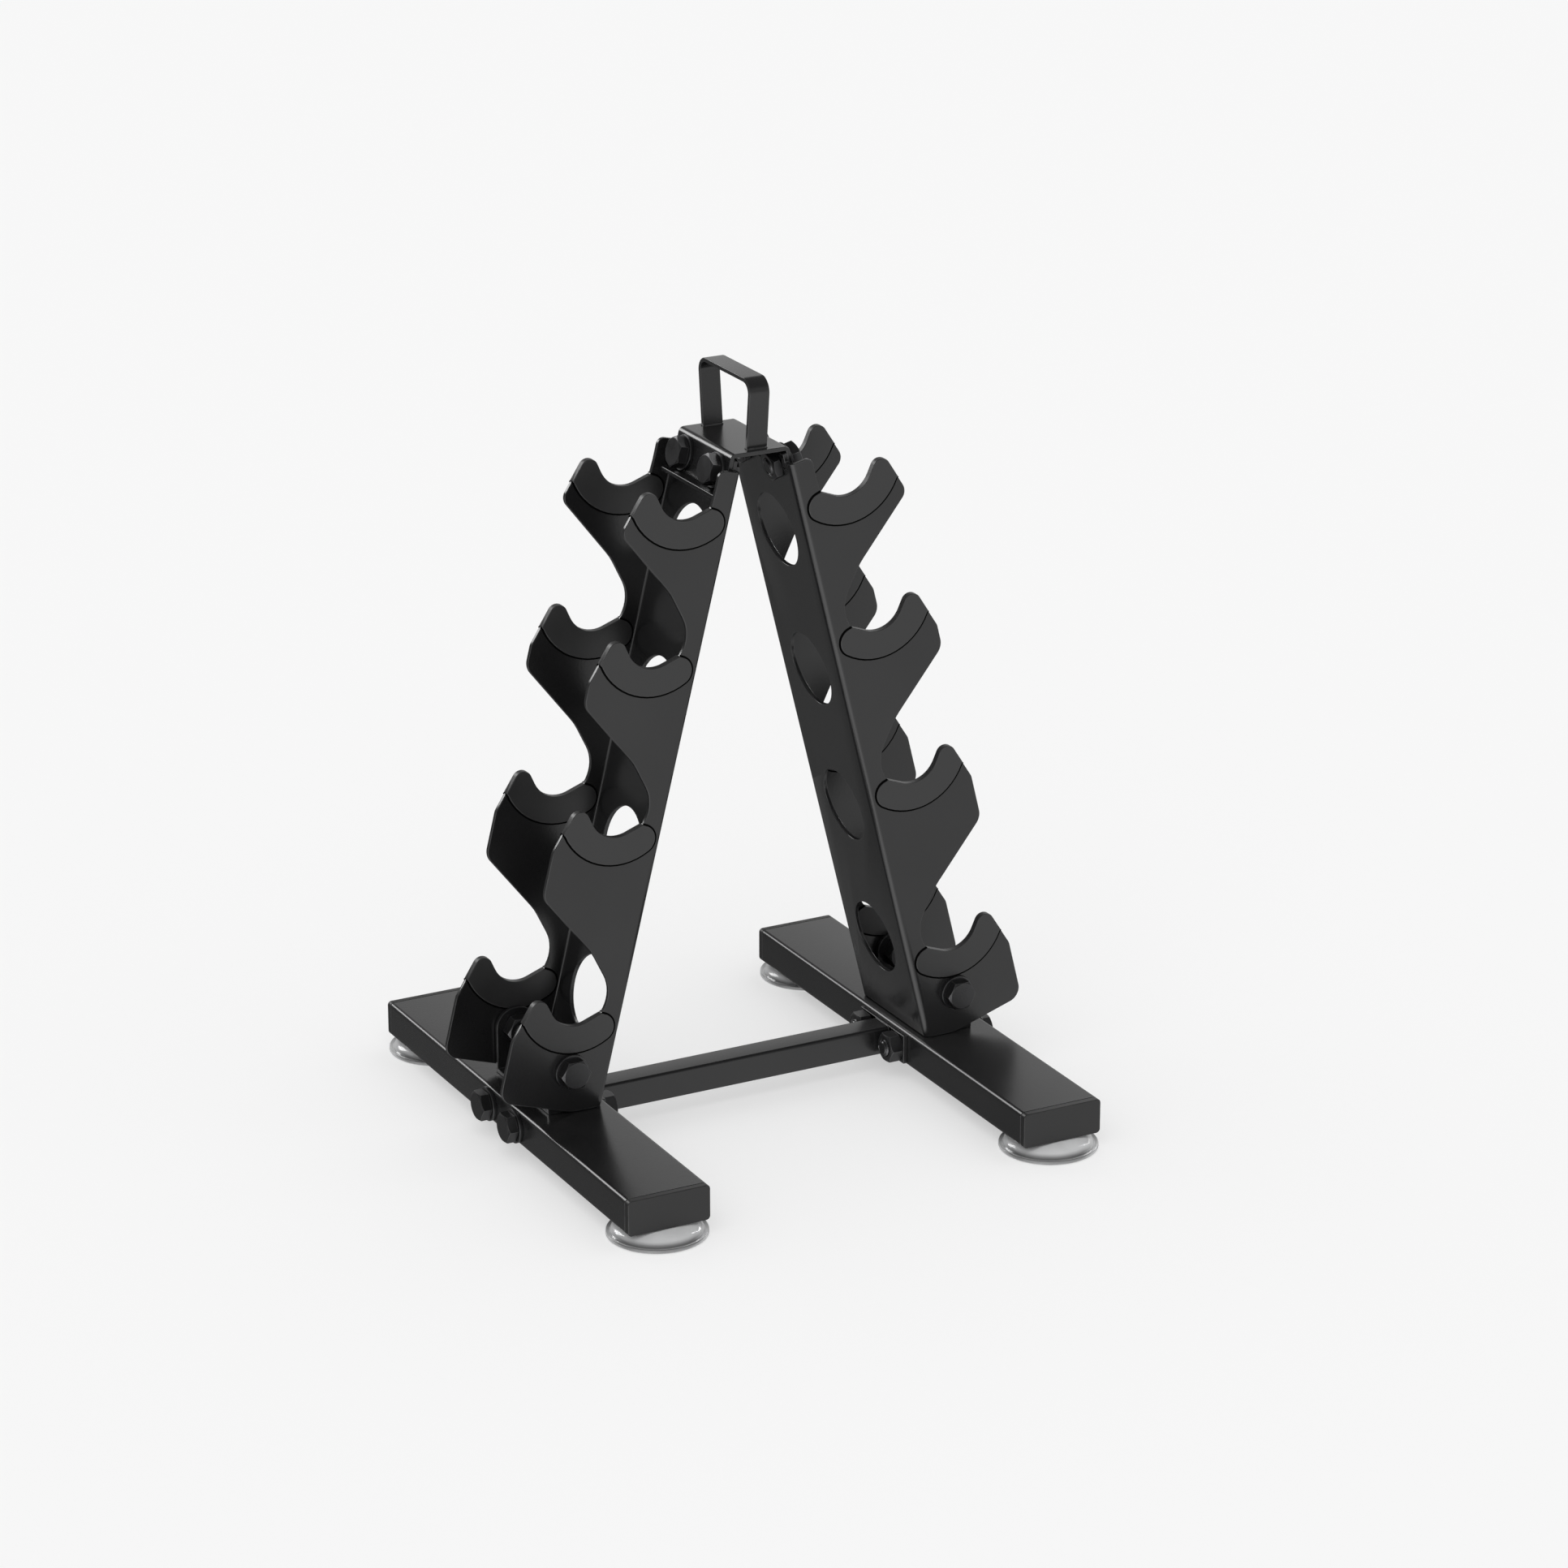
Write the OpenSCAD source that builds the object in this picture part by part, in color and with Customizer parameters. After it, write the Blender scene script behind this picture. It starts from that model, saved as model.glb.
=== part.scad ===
// Four-tier dumbbell rack. Two leaning sheet-metal channels stand on a pair of
// base tubes and meet under a saddle bracket with a carrying handle. Each
// channel has four hooked cradles a side, front and rear, lined in soft plastic.
// Frame: X along the crossbar, Y front to back, Z up. The origin is on the
// ground, under the middle of the rack. Lengths are in millimetres.

/* [Base] */
// Length of a base tube with both end caps, front to back
base_length = 384; // [330:1:470]
// Width over the outer faces of the two base tubes
base_width = 357; // [300:1:430]
// Width of a base tube
tube_width = 60; // [50:1:72]
// Height of a base tube
tube_height = 25; // [25:1:40]
// Wall of the base tubes
tube_wall = 2; // [1.5:0.5:3]
// Thickness of the end cap that shows past the tube
cap_thickness = 5; // [3:0.5:8]
// Side of the square crossbar
bar_side = 20; // [16:1:22]

/* [Feet] */
// Diameter of a foot at its rim
foot_diameter = 68; // [60:1:82]
// Height of a foot
foot_height = 10; // [8:0.5:14]
// Distance of a foot's centre from the end of its tube
foot_inset = 18; // [14:1:40]

/* [Uprights] */
// Depth of an upright channel, front to back
channel_depth = 92; // [84:1:120]
// Thickness of the upright's sheet
sheet = 3; // [2:0.5:4]
// Outer radius of the channel's bends
bend_radius = 5; // [4:0.5:8]
// Distance between the webs' inner faces at their top edges
top_gap = 33; // [30:1:60]
// Diameter of the round holes down each web
web_hole = 53; // [40:1:60]
// Distance between neighbouring web holes
web_hole_pitch = 106; // [80:1:130]

/* [Cradles] */
// Radius of a cradle
cradle_radius = 20.5; // [18:0.5:25]
// Height of the lowest cradle above the base tube, along the web
first_cradle = 56; // [54:1:80]
// Mean distance between neighbouring cradles
cradle_spacing = 117; // [114:1:145]
// Change of that distance from one pair of cradles to the next one up
spacing_step = 16; // [0:1:20]
// Height of the liner's band under a cradle
liner_band = 19.3; // [14:0.1:22]
// Thickness of the liner over the sheet's edge and on its two faces
liner_cover = 1; // [1:0.25:2.5]

/* [Top] */
// Depth of the saddle bracket, front to back
saddle_depth = 76; // [66:1:80]
// Width of the handle strap
strap_width = 15; // [12:1:25]
// Height of the handle above the saddle
handle_height = 48; // [40:1:80]
// Length of the handle where it stands on the saddle
handle_length = 66; // [50:1:66]

/* [Hardware] */
// Diameter of the bolts
bolt_diameter = 12; // [10:1:12]
// Distance across the flats of bolt heads and nuts
hex_flats = 19; // [17:1:19]
// Diameter of the washers
washer_diameter = 24; // [21:0.5:24]

/* [Hidden] */
SIDES = ["left", "right"];
ENDS = ["front", "rear"];
TIERS = [1, 2, 3, 4];

$fn = 64;
ARC_STEP = 7;
COLOUR_STEEL = [0.09, 0.09, 0.1];
COLOUR_LINER = [0.04, 0.04, 0.04];
COLOUR_HARDWARE = [0.06, 0.06, 0.06];
COLOUR_ZINC = [0.6, 0.6, 0.62];
COLOUR_CLEAR = [0.88, 0.9, 0.9];

// Hardware sizes that go with the bolt size
head_height = bolt_diameter * 0.62;
nut_height = bolt_diameter * 0.8;
washer_thickness = 2.5;
bolt_clearance = 0.6;
thread_clearance = 0.2;
bolt_end = 2;
thin_nut_height = bolt_diameter / 2;
thin_nut_bolt_end = 0.6;
stud_diameter = 6;
stud_nut_flats = 10;
stud_nut_height = 5;
stud_depth = 5.5;

// Base
tube_z = foot_height;
tube_top = tube_z + tube_height;
tube_x = (base_width - tube_width) / 2;
tube_inner_x = base_width / 2 - tube_width;
tube_corner = 3;
cap_plug_depth = 6;
cap_plug_gap = 0.2;
foot_y = base_length / 2 - foot_inset;
foot_x = tube_x;
bar_wall = 1.5;
bar_z = tube_z + tube_height / 2;
end_plate = 3;
end_plate_length = 62;
end_plate_height = tube_height - 4;
bar_bolt_y = 21;

// Clevis
clevis_width = 30;
clevis_sheet = 3;
clevis_bolt_height = 31;
ear_radius = clevis_width / 2 - 1;
spacer = liner_cover + 0.2;
ear_face = channel_depth / 2 - sheet - spacer;

// Upright. u runs outward from the web's inner face and v up along it.
web_foot_x = tube_inner_x + 6.5;
web_clearance = 0.5;
top_cradle = first_cradle + 3 * cradle_spacing;
plate_top = top_cradle + 36;
web_length = plate_top + 6;
lean = asin((web_foot_x - top_gap / 2) / web_length);
throat = 14.5;
tip_width = 23;
plate_reach = throat + 2 * cradle_radius + tip_width;
outer_slope = 19;
slope_start = -14;
hook_corner_radius = 8;
underside_corner_radius = 11;
slope_step_u = plate_reach - 4.5;
tip_radius = 6.5;
tip_angle = -38;
lip_angle = 233;
throat_radius = 1.22 * cradle_radius;
throat_drop = 0.5;
throat_lip_angle = 203;
throat_top_angle = 141;
underside_angle = 38;
underside_start = [throat + 18.5, 2.5 * cradle_radius];
underside_radius = 40;
tab_edge = 16.5;
tab_foot_radius = 2;
tab_side_radius = 8;
tab_radius = 5;
foot_flat = 23;
foot_flat_radius = 30;
foot_edge_v = -1.2;
foot_edge_radius = 10;
first_hole = 65;
tongue_depth = saddle_depth;

// Liner
liner_thickness = sheet + 2 * liner_cover;
liner_cap = [throat + 0.7, 0];
liner_rise = 2.8;
liner_radius = cradle_radius + liner_band + liner_rise;
liner_lip = throat + 2.3;
liner_lip_radius = 1;

// Saddle. Its flanges lie on the webs' outboard faces.
saddle_sheet = 3;
saddle_bend = 4;
saddle_ledge = 6.5;
saddle_bolt_v = web_length - 10.5;
saddle_bolt_y = 23;
flange_end_v = saddle_bolt_v - washer_diameter / 2 - saddle_sheet - 0.3;
saddle_under = upright_point([sheet, web_length])[1] + 1.5;
saddle_top = saddle_under + saddle_sheet;
handle_splay = 5;
handle_radius = 10;

// ---------- plane geometry ----------

function unit(p) = p / norm(p);
function polar(c, r, a) = [c[0] + r * cos(a), c[1] + r * sin(a)];
function arc_steps(sweep) = max(1, ceil(abs(sweep) / ARC_STEP));

// Points of an arc from angle a0 to a1
function arc(c, r, a0, a1) =
    let (n = arc_steps(a1 - a0))
    [for (i = [0:n]) polar(c, r, a0 + (a1 - a0) * i / n)];

// The shorter way round from angle a0 to a1
function turn(a0, a1) =
    let (d = a1 - a0)
    d > 180 ? d - 360 : d < -180 ? d + 360 : d;

// The arc of radius r that rounds corner p between its neighbours a and b
function corner_arc(a, p, b, r) =
    let (
        da = unit(a - p),
        db = unit(b - p),
        half = acos(da * db) / 2,
        c = p + unit(da + db) * r / sin(half),
        pa = p + da * r / tan(half),
        pb = p + db * r / tan(half),
        a0 = atan2(pa[1] - c[1], pa[0] - c[0]),
        a1 = atan2(pb[1] - c[1], pb[0] - c[0])
    )
    arc(c, r, a0, a0 + turn(a0, a1));

// A closed outline in which each point [x, y, r] with a radius is rounded
function rounded(points) =
    let (n = len(points))
    [
        for (i = [0:n - 1])
            let (
                p = points[i],
                a = points[(i + n - 1) % n],
                b = points[(i + 1) % n]
            )
            each len(p) == 2
                ? [p]
                : corner_arc([a[0], a[1]], [p[0], p[1]], [b[0], b[1]], p[2])
    ];

// The point that two lines share, each given by a point and an angle
function crossing(p, pa, q, qa) =
    let (t = ((q[0] - p[0]) * sin(qa) - (q[1] - p[1]) * cos(qa)) / sin(qa - pa))
    [p[0] + t * cos(pa), p[1] + t * sin(pa)];

// World x and z of the upright's local point [u, v], on the right-hand side
function upright_point(p) = [
    web_foot_x + p[0] * cos(lean) - p[1] * sin(lean),
    tube_top + p[0] * sin(lean) + p[1] * cos(lean)
];

// Local u and v of a world x and height above the base tube
function upright_local(x, h) = [
    (x - web_foot_x) * cos(lean) + h * sin(lean),
    -(x - web_foot_x) * sin(lean) + h * cos(lean)
];

// ---------- cradle outlines ----------

// Height of each tier's cradle along the web, lowest first
function cradle_v(tier) =
    first_cradle + cradle_spacing * (tier - 1)
    + spacing_step * (tier - 1) * (4 - tier) / 2;

function cradle_centre(v0) = [throat + 3.2 + cradle_radius, v0 + cradle_radius];

// The point where the liner ends on a hook's outer slope, moved into the hook by inset
function slope_step(v0, inset) = [
    slope_step_u - inset * cos(outer_slope),
    v0 + slope_start + (plate_reach - slope_step_u) / tan(outer_slope) - inset * sin(outer_slope)
];

// Edge of a cradle from the hook's outer slope to the inner lip, moved into the hook by inset
function cradle_edge(v0, inset) =
    let (
        c = cradle_centre(v0),
        r = cradle_radius + inset,
        start = slope_step(v0, inset),
        tip = crossing(polar(c, r, tip_angle), tip_angle + 90, start, 90 + outer_slope)
    )
    concat(
        [start],
        [[tip[0], tip[1], tip_radius - inset]],
        arc(c, r, tip_angle, lip_angle - 360)
    );

// A hook's corner and outer slope, then the sheet's edge under the liner
function hook_edge(v0) =
    concat(
        [[plate_reach, v0 + slope_start, hook_corner_radius]],
        [slope_step(v0, 0)],
        cradle_edge(v0, liner_cover)
    );

// Boundary of one cradle's opening, from the plate's outer edge and back to it
function bite(v0, next_v0) =
    let (
        c = [throat + throat_radius, v0 + cradle_radius - throat_drop],
        bend = underside_start + [0, v0],
        corner_v = bend[1] + (plate_reach - bend[0]) * tan(underside_angle),
        room = next_v0 + slope_start - corner_v
    )
    concat(
        hook_edge(v0),
        arc(c, throat_radius, throat_lip_angle, throat_top_angle),
        [[bend[0], bend[1], underside_radius]],
        room > underside_corner_radius ? [[plate_reach, corner_v, underside_corner_radius]] : []
    );

// Boundary of the topmost cradle, which is open above
function top_bite(v0) =
    concat(
        hook_edge(v0),
        [[tab_edge + 0.5, v0 + cradle_radius / 2, tab_foot_radius]],
        [[tab_edge, v0 + cradle_radius, tab_side_radius]],
        [[tab_edge, plate_top, tab_radius]]
    );

// Outline of an upright's front or rear plate
function plate_outline() =
    let (flat = upright_local(web_foot_x + foot_flat, web_clearance))
    rounded(concat(
        [[0, plate_top]],
        [upright_local(web_foot_x + web_clearance * tan(lean), web_clearance)],
        [[flat[0], flat[1], foot_flat_radius]],
        [[plate_reach, foot_edge_v, foot_edge_radius]],
        [for (t = [1:3]) each bite(cradle_v(t), cradle_v(t + 1))],
        top_bite(cradle_v(4))
    ));

// Outline of a cradle's liner
function liner_outline(v0) =
    let (
        centre = cradle_centre(v0) + [0, liner_rise],
        cap = liner_cap + [0, v0],
        cap_radius = liner_radius - norm(centre - cap),
        meet = atan2(cap[1] - centre[1], cap[0] - centre[0]) + 360,
        step = slope_step(v0, 0),
        outer_angle = 360 + atan2(step[1] - centre[1], step[0] - centre[0])
    )
    rounded(concat(
        cradle_edge(v0, 0),
        [[liner_lip, v0 + cradle_radius / 2, liner_lip_radius]],
        arc(cap, cap_radius, 100, meet),
        arc(centre, liner_radius, meet, outer_angle - 2)
    ));

// ---------- shared solids ----------

// A box that has round edges along its length in Y
module rounded_bar(w, l, h, r) {
    rotate([90, 0, 0])
        linear_extrude(l, center = true)
            rounded_rectangle(w, h, r);
}

// A rectangle with round corners, centred
module rounded_rectangle(w, h, r) {
    polygon(rounded([
        [-w / 2, -h / 2, r],
        [w / 2, -h / 2, r],
        [w / 2, h / 2, r],
        [-w / 2, h / 2, r]
    ]));
}

// A bolt along +Z with the underside of its head at z = 0 and its head below
module bolt(grip) {
    cylinder(d = bolt_diameter, h = grip);
    translate([0, 0, -head_height])
        cylinder(d = hex_flats / cos(30), h = head_height, $fn = 6);
}

module nut(h) {
    difference() {
        cylinder(d = hex_flats / cos(30), h = h, $fn = 6);
        translate([0, 0, -1])
            cylinder(d = bolt_diameter + thread_clearance, h = h + 2);
    }
}

module washer(d, t) {
    difference() {
        cylinder(d = d, h = t);
        translate([0, 0, -1])
            cylinder(d = bolt_diameter + bolt_clearance, h = t + 2);
    }
}

// Draws the right-hand piece, or its mirror image for the left-hand side
module on_side(side) {
    if (side == "left")
        mirror([1, 0, 0]) children();
    else
        children();
}

// Draws the front piece, or its mirror image for the rear
module on_end(end) {
    if (end == "rear")
        mirror([0, 1, 0]) children();
    else
        children();
}

// Puts a child given in the upright's local axes (u, y, v) in its place
module on_upright(side) {
    on_side(side)
        translate([web_foot_x, 0, tube_top])
            rotate([0, -lean, 0])
                children();
}

// Puts a child at each crossbar bolt, with +Z outward along X
module at_bar_bolts() {
    for (side = SIDES, y = [-bar_bolt_y, bar_bolt_y])
        on_side(side)
            translate([tube_inner_x, y, bar_z])
                rotate([0, 90, 0])
                    children();
}

// Puts a child at each upright's foot bolts, with +Z toward the middle of the channel
module at_clevis_bolts() {
    for (side = SIDES, end = ENDS)
        on_side(side)
            on_end(end)
                translate([tube_x, -channel_depth / 2, tube_top + clevis_bolt_height])
                    rotate([-90, 0, 0])
                        children();
}

// Puts a child at each saddle bolt, on the web's inner face with +Z outward
module at_saddle_bolts() {
    for (side = SIDES, y = [-saddle_bolt_y, saddle_bolt_y])
        on_upright(side)
            translate([0, y, saddle_bolt_v])
                rotate([0, 90, 0])
                    children();
}

// ---------- base ----------

module base_tube(side) {
    color(COLOUR_STEEL)
        on_side(side)
            difference() {
                translate([tube_x, 0, bar_z])
                    rounded_bar(tube_width, base_length - 2 * cap_thickness, tube_height, tube_corner);
                translate([tube_x, 0, bar_z])
                    rounded_bar(
                        tube_width - 2 * tube_wall,
                        base_length,
                        tube_height - 2 * tube_wall,
                        tube_corner - tube_wall
                    );
                for (y = [-bar_bolt_y, bar_bolt_y])
                    translate([tube_inner_x - 1, y, bar_z])
                        rotate([0, 90, 0])
                            cylinder(d = bolt_diameter + bolt_clearance, h = tube_width + 2);
                for (y = [-foot_y, foot_y])
                    translate([foot_x, y, tube_z - 1])
                        cylinder(d = stud_diameter + bolt_clearance, h = tube_wall + 2);
            }
}

module end_cap(side, end) {
    color(COLOUR_LINER)
        on_side(side)
            on_end(end)
                translate([tube_x, -base_length / 2, bar_z]) {
                    translate([0, cap_thickness / 2, 0])
                        rounded_bar(tube_width, cap_thickness, tube_height, tube_corner);
                    translate([0, cap_thickness + cap_plug_depth / 2, 0])
                        difference() {
                            rounded_bar(
                                tube_width - 2 * tube_wall - cap_plug_gap,
                                cap_plug_depth + 0.02,
                                tube_height - 2 * tube_wall - cap_plug_gap,
                                1
                            );
                            rounded_bar(
                                tube_width - 4 * tube_wall,
                                cap_plug_depth + 1,
                                tube_height - 4 * tube_wall,
                                1
                            );
                        }
                }
}

module foot(side, end) {
    rim = foot_diameter / 2;
    lip = 3;
    soft = 1;
    shoulder = rim - 2.2;
    boss = 12;
    hollow_edge = 10;
    hollow_centre = 26;
    hollow_depth = 2;
    color(COLOUR_CLEAR)
        on_side(side)
            on_end(end)
                translate([foot_x, -foot_y, 0])
                    difference() {
                        rotate_extrude()
                            polygon(concat(
                                [[0, 0], [rim - soft, 0], [rim, soft]],
                                [[rim, lip - soft], [rim - soft, lip]],
                                [
                                    for (i = [0:8])
                                        let (s = i / 8)
                                        [
                                            shoulder - (shoulder - boss) * s,
                                            lip + (foot_height - lip) * sin(90 * s)
                                        ]
                                ],
                                [[0, foot_height]]
                            ));
                        translate([0, 0, -1])
                            cylinder(
                                d1 = foot_diameter - hollow_edge,
                                d2 = foot_diameter - hollow_centre,
                                h = hollow_depth + 1
                            );
                        translate([0, 0, foot_height - stud_depth])
                            cylinder(d = stud_diameter, h = stud_depth + 1);
                    }
}

module foot_studs() {
    stud_top = tube_z + tube_wall + stud_nut_height + 2;
    color(COLOUR_ZINC)
        for (x = [-foot_x, foot_x], y = [-foot_y, foot_y])
            translate([x, y, 0]) {
                translate([0, 0, foot_height - stud_depth])
                    cylinder(d = stud_diameter, h = stud_top - foot_height + stud_depth);
                translate([0, 0, tube_z + tube_wall])
                    cylinder(d = stud_nut_flats / cos(30), h = stud_nut_height, $fn = 6);
            }
}

module crossbar() {
    bar_half = tube_inner_x - end_plate;
    color(COLOUR_STEEL)
        translate([0, 0, bar_z])
            difference() {
                union() {
                    rotate([0, 0, 90])
                        rounded_bar(bar_side, 2 * bar_half + 1, bar_side, 2);
                    for (x = [-1, 1])
                        translate([x * (bar_half + end_plate / 2), 0, 0])
                            cube([end_plate, end_plate_length, end_plate_height], center = true);
                }
                rotate([0, 0, 90])
                    rounded_bar(bar_side - 2 * bar_wall, 2 * bar_half - 1, bar_side - 2 * bar_wall, 0.5);
                for (x = [-1, 1], y = [-bar_bolt_y, bar_bolt_y])
                    translate([x * (bar_half + end_plate / 2), y, 0])
                        rotate([0, 90, 0])
                            cylinder(d = bolt_diameter + bolt_clearance, h = end_plate + 2, center = true);
            }
}

module crossbar_bolts() {
    grip = tube_width + washer_thickness + end_plate + nut_height + bolt_end;
    color(COLOUR_HARDWARE)
        at_bar_bolts()
            translate([0, 0, tube_width + washer_thickness])
                mirror([0, 0, 1])
                    rotate([0, 0, 30])
                        bolt(grip);
}

module crossbar_washers() {
    color(COLOUR_HARDWARE)
        at_bar_bolts()
            translate([0, 0, tube_width])
                washer(washer_diameter, washer_thickness);
}

module crossbar_nuts() {
    color(COLOUR_HARDWARE)
        at_bar_bolts()
            translate([0, 0, -end_plate - nut_height])
                rotate([0, 0, 30])
                    nut(nut_height);
}

// ---------- clevises ----------

// U-shaped bracket on a base tube, with an ear inside each plate of the upright
module clevis(side) {
    half = clevis_width / 2;
    ear_top = clevis_bolt_height + half;
    color(COLOUR_STEEL)
        on_side(side)
            translate([tube_x, 0, tube_top])
                difference() {
                    union() {
                        translate([0, 0, clevis_sheet / 2])
                            cube([clevis_width, 2 * ear_face, clevis_sheet], center = true);
                        for (y = [-ear_face + clevis_sheet, ear_face])
                            translate([0, y, 0])
                                rotate([90, 0, 0])
                                    linear_extrude(clevis_sheet)
                                        polygon(rounded([
                                            [-half, 0],
                                            [half, 0],
                                            [half, ear_top, ear_radius],
                                            [-half, ear_top, ear_radius]
                                        ]));
                    }
                    translate([0, 0, clevis_bolt_height])
                        rotate([90, 0, 0])
                            cylinder(d = bolt_diameter + bolt_clearance, h = 3 * ear_face, center = true);
                }
}

module upright_bolts() {
    grip = washer_thickness + sheet + spacer + clevis_sheet + nut_height + bolt_end;
    color(COLOUR_HARDWARE)
        at_clevis_bolts()
            translate([0, 0, -washer_thickness])
                bolt(grip);
}

module upright_washers() {
    color(COLOUR_HARDWARE)
        at_clevis_bolts()
            translate([0, 0, -washer_thickness])
                washer(washer_diameter, washer_thickness);
}

module upright_spacers() {
    color(COLOUR_LINER)
        at_clevis_bolts()
            translate([0, 0, sheet])
                washer(washer_diameter - 2, spacer);
}

module upright_nuts() {
    color(COLOUR_HARDWARE)
        at_clevis_bolts()
            translate([0, 0, sheet + spacer + clevis_sheet])
                nut(nut_height);
}

// ---------- uprights ----------

// Cross-section of the channel: half-planes beyond the plates are left open
module channel_section() {
    reach = plate_reach + 10;
    difference() {
        polygon(rounded([
            [0, -channel_depth / 2, bend_radius],
            [reach, -channel_depth / 2],
            [reach, channel_depth / 2],
            [0, channel_depth / 2, bend_radius]
        ]));
        polygon(rounded([
            [sheet, sheet - channel_depth / 2, bend_radius - sheet],
            [reach + 1, sheet - channel_depth / 2],
            [reach + 1, channel_depth / 2 - sheet],
            [sheet, channel_depth / 2 - sheet, bend_radius - sheet]
        ]));
    }
}

// The tongue of web that stands above the plates, behind the saddle's flange
module web_tongue() {
    overlap = 5;
    translate([0, -tongue_depth / 2, plate_top - overlap])
        cube([sheet, tongue_depth, web_length - plate_top + overlap]);
}

module upright(side) {
    bolt_at = upright_local(tube_x, clevis_bolt_height);
    below = 20;
    color(COLOUR_STEEL)
        on_upright(side)
            difference() {
                union() {
                    intersection() {
                        translate([0, 0, -below])
                            linear_extrude(web_length + below)
                                channel_section();
                        rotate([90, 0, 0])
                            linear_extrude(channel_depth + 2, center = true)
                                polygon(plate_outline());
                    }
                    web_tongue();
                }
                for (i = [0:3])
                    translate([-1, 0, first_hole + i * web_hole_pitch])
                        rotate([0, 90, 0])
                            cylinder(d = web_hole, h = sheet + 2);
                for (y = [-saddle_bolt_y, saddle_bolt_y])
                    translate([-1, y, saddle_bolt_v])
                        rotate([0, 90, 0])
                            cylinder(d = bolt_diameter + bolt_clearance, h = sheet + 2);
                translate([bolt_at[0], 0, bolt_at[1]])
                    rotate([90, 0, 0])
                        cylinder(d = bolt_diameter + bolt_clearance, h = channel_depth + 2, center = true);
            }
}

// Moulded edging that grips one plate around one cradle
module liner(side, end, tier) {
    v0 = cradle_v(tier);
    next_v0 = tier < 4 ? cradle_v(tier + 1) : plate_top;
    y_mid = -(channel_depth - sheet) / 2;
    opening = tier < 4 ? bite(v0, next_v0) : top_bite(v0);
    behind = -5;
    below = v0 - 40;
    color(COLOUR_LINER)
        on_upright(side)
            on_end(end)
                translate([0, y_mid, 0])
                    rotate([90, 0, 0])
                        difference() {
                            linear_extrude(liner_thickness, center = true)
                                polygon(liner_outline(v0));
                            linear_extrude(sheet, center = true)
                                polygon(rounded(concat(
                                    [[behind, v0 + 3 * cradle_radius], [behind, below]],
                                    [[plate_reach, below]],
                                    opening
                                )));
                        }
}

// ---------- top ----------

// Bent bracket across the top: a flat plate and two flanges that end in ledges
module saddle() {
    inner = upright_point([sheet, web_length]);
    half_in = inner[0] - (saddle_under - inner[1]) * tan(lean);
    half_out = half_in + saddle_sheet / cos(lean) - saddle_sheet * tan(lean);
    low_in = upright_point([sheet, flange_end_v]);
    low_out = upright_point([sheet + saddle_sheet, flange_end_v]);
    ledge_top = low_out[1] + saddle_sheet;
    ledge_out = low_out[0] + saddle_ledge;
    ledge_in = low_in[0] - (low_out[1] - low_in[1]) * tan(lean);
    outer_at_ledge = low_out[0] - saddle_sheet * tan(lean);
    outline = [
        [-half_out, saddle_top, saddle_bend],
        [-outer_at_ledge, ledge_top],
        [-ledge_out, ledge_top],
        [-ledge_out, low_out[1]],
        [-ledge_in, low_out[1]],
        [-half_in, saddle_under],
        [half_in, saddle_under],
        [ledge_in, low_out[1]],
        [ledge_out, low_out[1]],
        [ledge_out, ledge_top],
        [outer_at_ledge, ledge_top],
        [half_out, saddle_top, saddle_bend]
    ];
    color(COLOUR_STEEL)
        difference() {
            rotate([90, 0, 0])
                linear_extrude(saddle_depth, center = true)
                    polygon(rounded(outline));
            at_saddle_bolts()
                cylinder(d = bolt_diameter + bolt_clearance, h = sheet + saddle_sheet + 4);
        }
}

module saddle_bolts() {
    grip = washer_thickness + saddle_sheet + sheet + thin_nut_height + thin_nut_bolt_end;
    color(COLOUR_HARDWARE)
        at_saddle_bolts()
            translate([0, 0, sheet + saddle_sheet + washer_thickness])
                mirror([0, 0, 1])
                    bolt(grip);
}

module saddle_washers() {
    color(COLOUR_HARDWARE)
        at_saddle_bolts()
            translate([0, 0, sheet + saddle_sheet])
                washer(washer_diameter, washer_thickness);
}

module saddle_nuts() {
    color(COLOUR_HARDWARE)
        at_saddle_bolts()
            translate([0, 0, -thin_nut_height])
                nut(thin_nut_height);
}

// Flat strap bent into a carrying handle
module handle() {
    half = handle_length / 2;
    wide = half + handle_splay;
    color(COLOUR_STEEL)
        translate([0, 0, saddle_top])
            rotate([90, 0, 90])
                linear_extrude(strap_width, center = true)
                    polygon(rounded([
                        [-half, 0],
                        [sheet - half, 0],
                        [sheet - wide, handle_height - sheet, handle_radius - sheet],
                        [wide - sheet, handle_height - sheet, handle_radius - sheet],
                        [half - sheet, 0],
                        [half, 0],
                        [wide, handle_height, handle_radius],
                        [-wide, handle_height, handle_radius]
                    ]));
}

// ---------- assembly ----------

for (s = SIDES)
    base_tube(s);
for (s = SIDES, e = ENDS)
    end_cap(s, e);
for (s = SIDES, e = ENDS)
    foot(s, e);
for (s = SIDES)
    clevis(s);
for (s = SIDES)
    upright(s);
for (s = SIDES, e = ENDS, t = TIERS)
    liner(s, e, t);
foot_studs();
crossbar();
crossbar_bolts();
crossbar_washers();
crossbar_nuts();
upright_bolts();
upright_washers();
upright_spacers();
upright_nuts();
saddle();
saddle_bolts();
saddle_washers();
saddle_nuts();
handle();
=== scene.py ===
"""Looks of a four-tier dumbbell rack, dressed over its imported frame.

Two leaning steel channels stand on a pair of base tubes and meet under a saddle
with a carrying handle. Every cradle is lined in soft plastic, the tubes end in
plastic caps, and the whole rack stands on four clear feet. Lengths are in metres.
"""

import logging
import math
from dataclasses import dataclass, field
from enum import Enum
from typing import Any

import bmesh
import bpy
import numpy as np
from mathutils import Matrix, Vector
from mathutils.bvhtree import BVHTree


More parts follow.
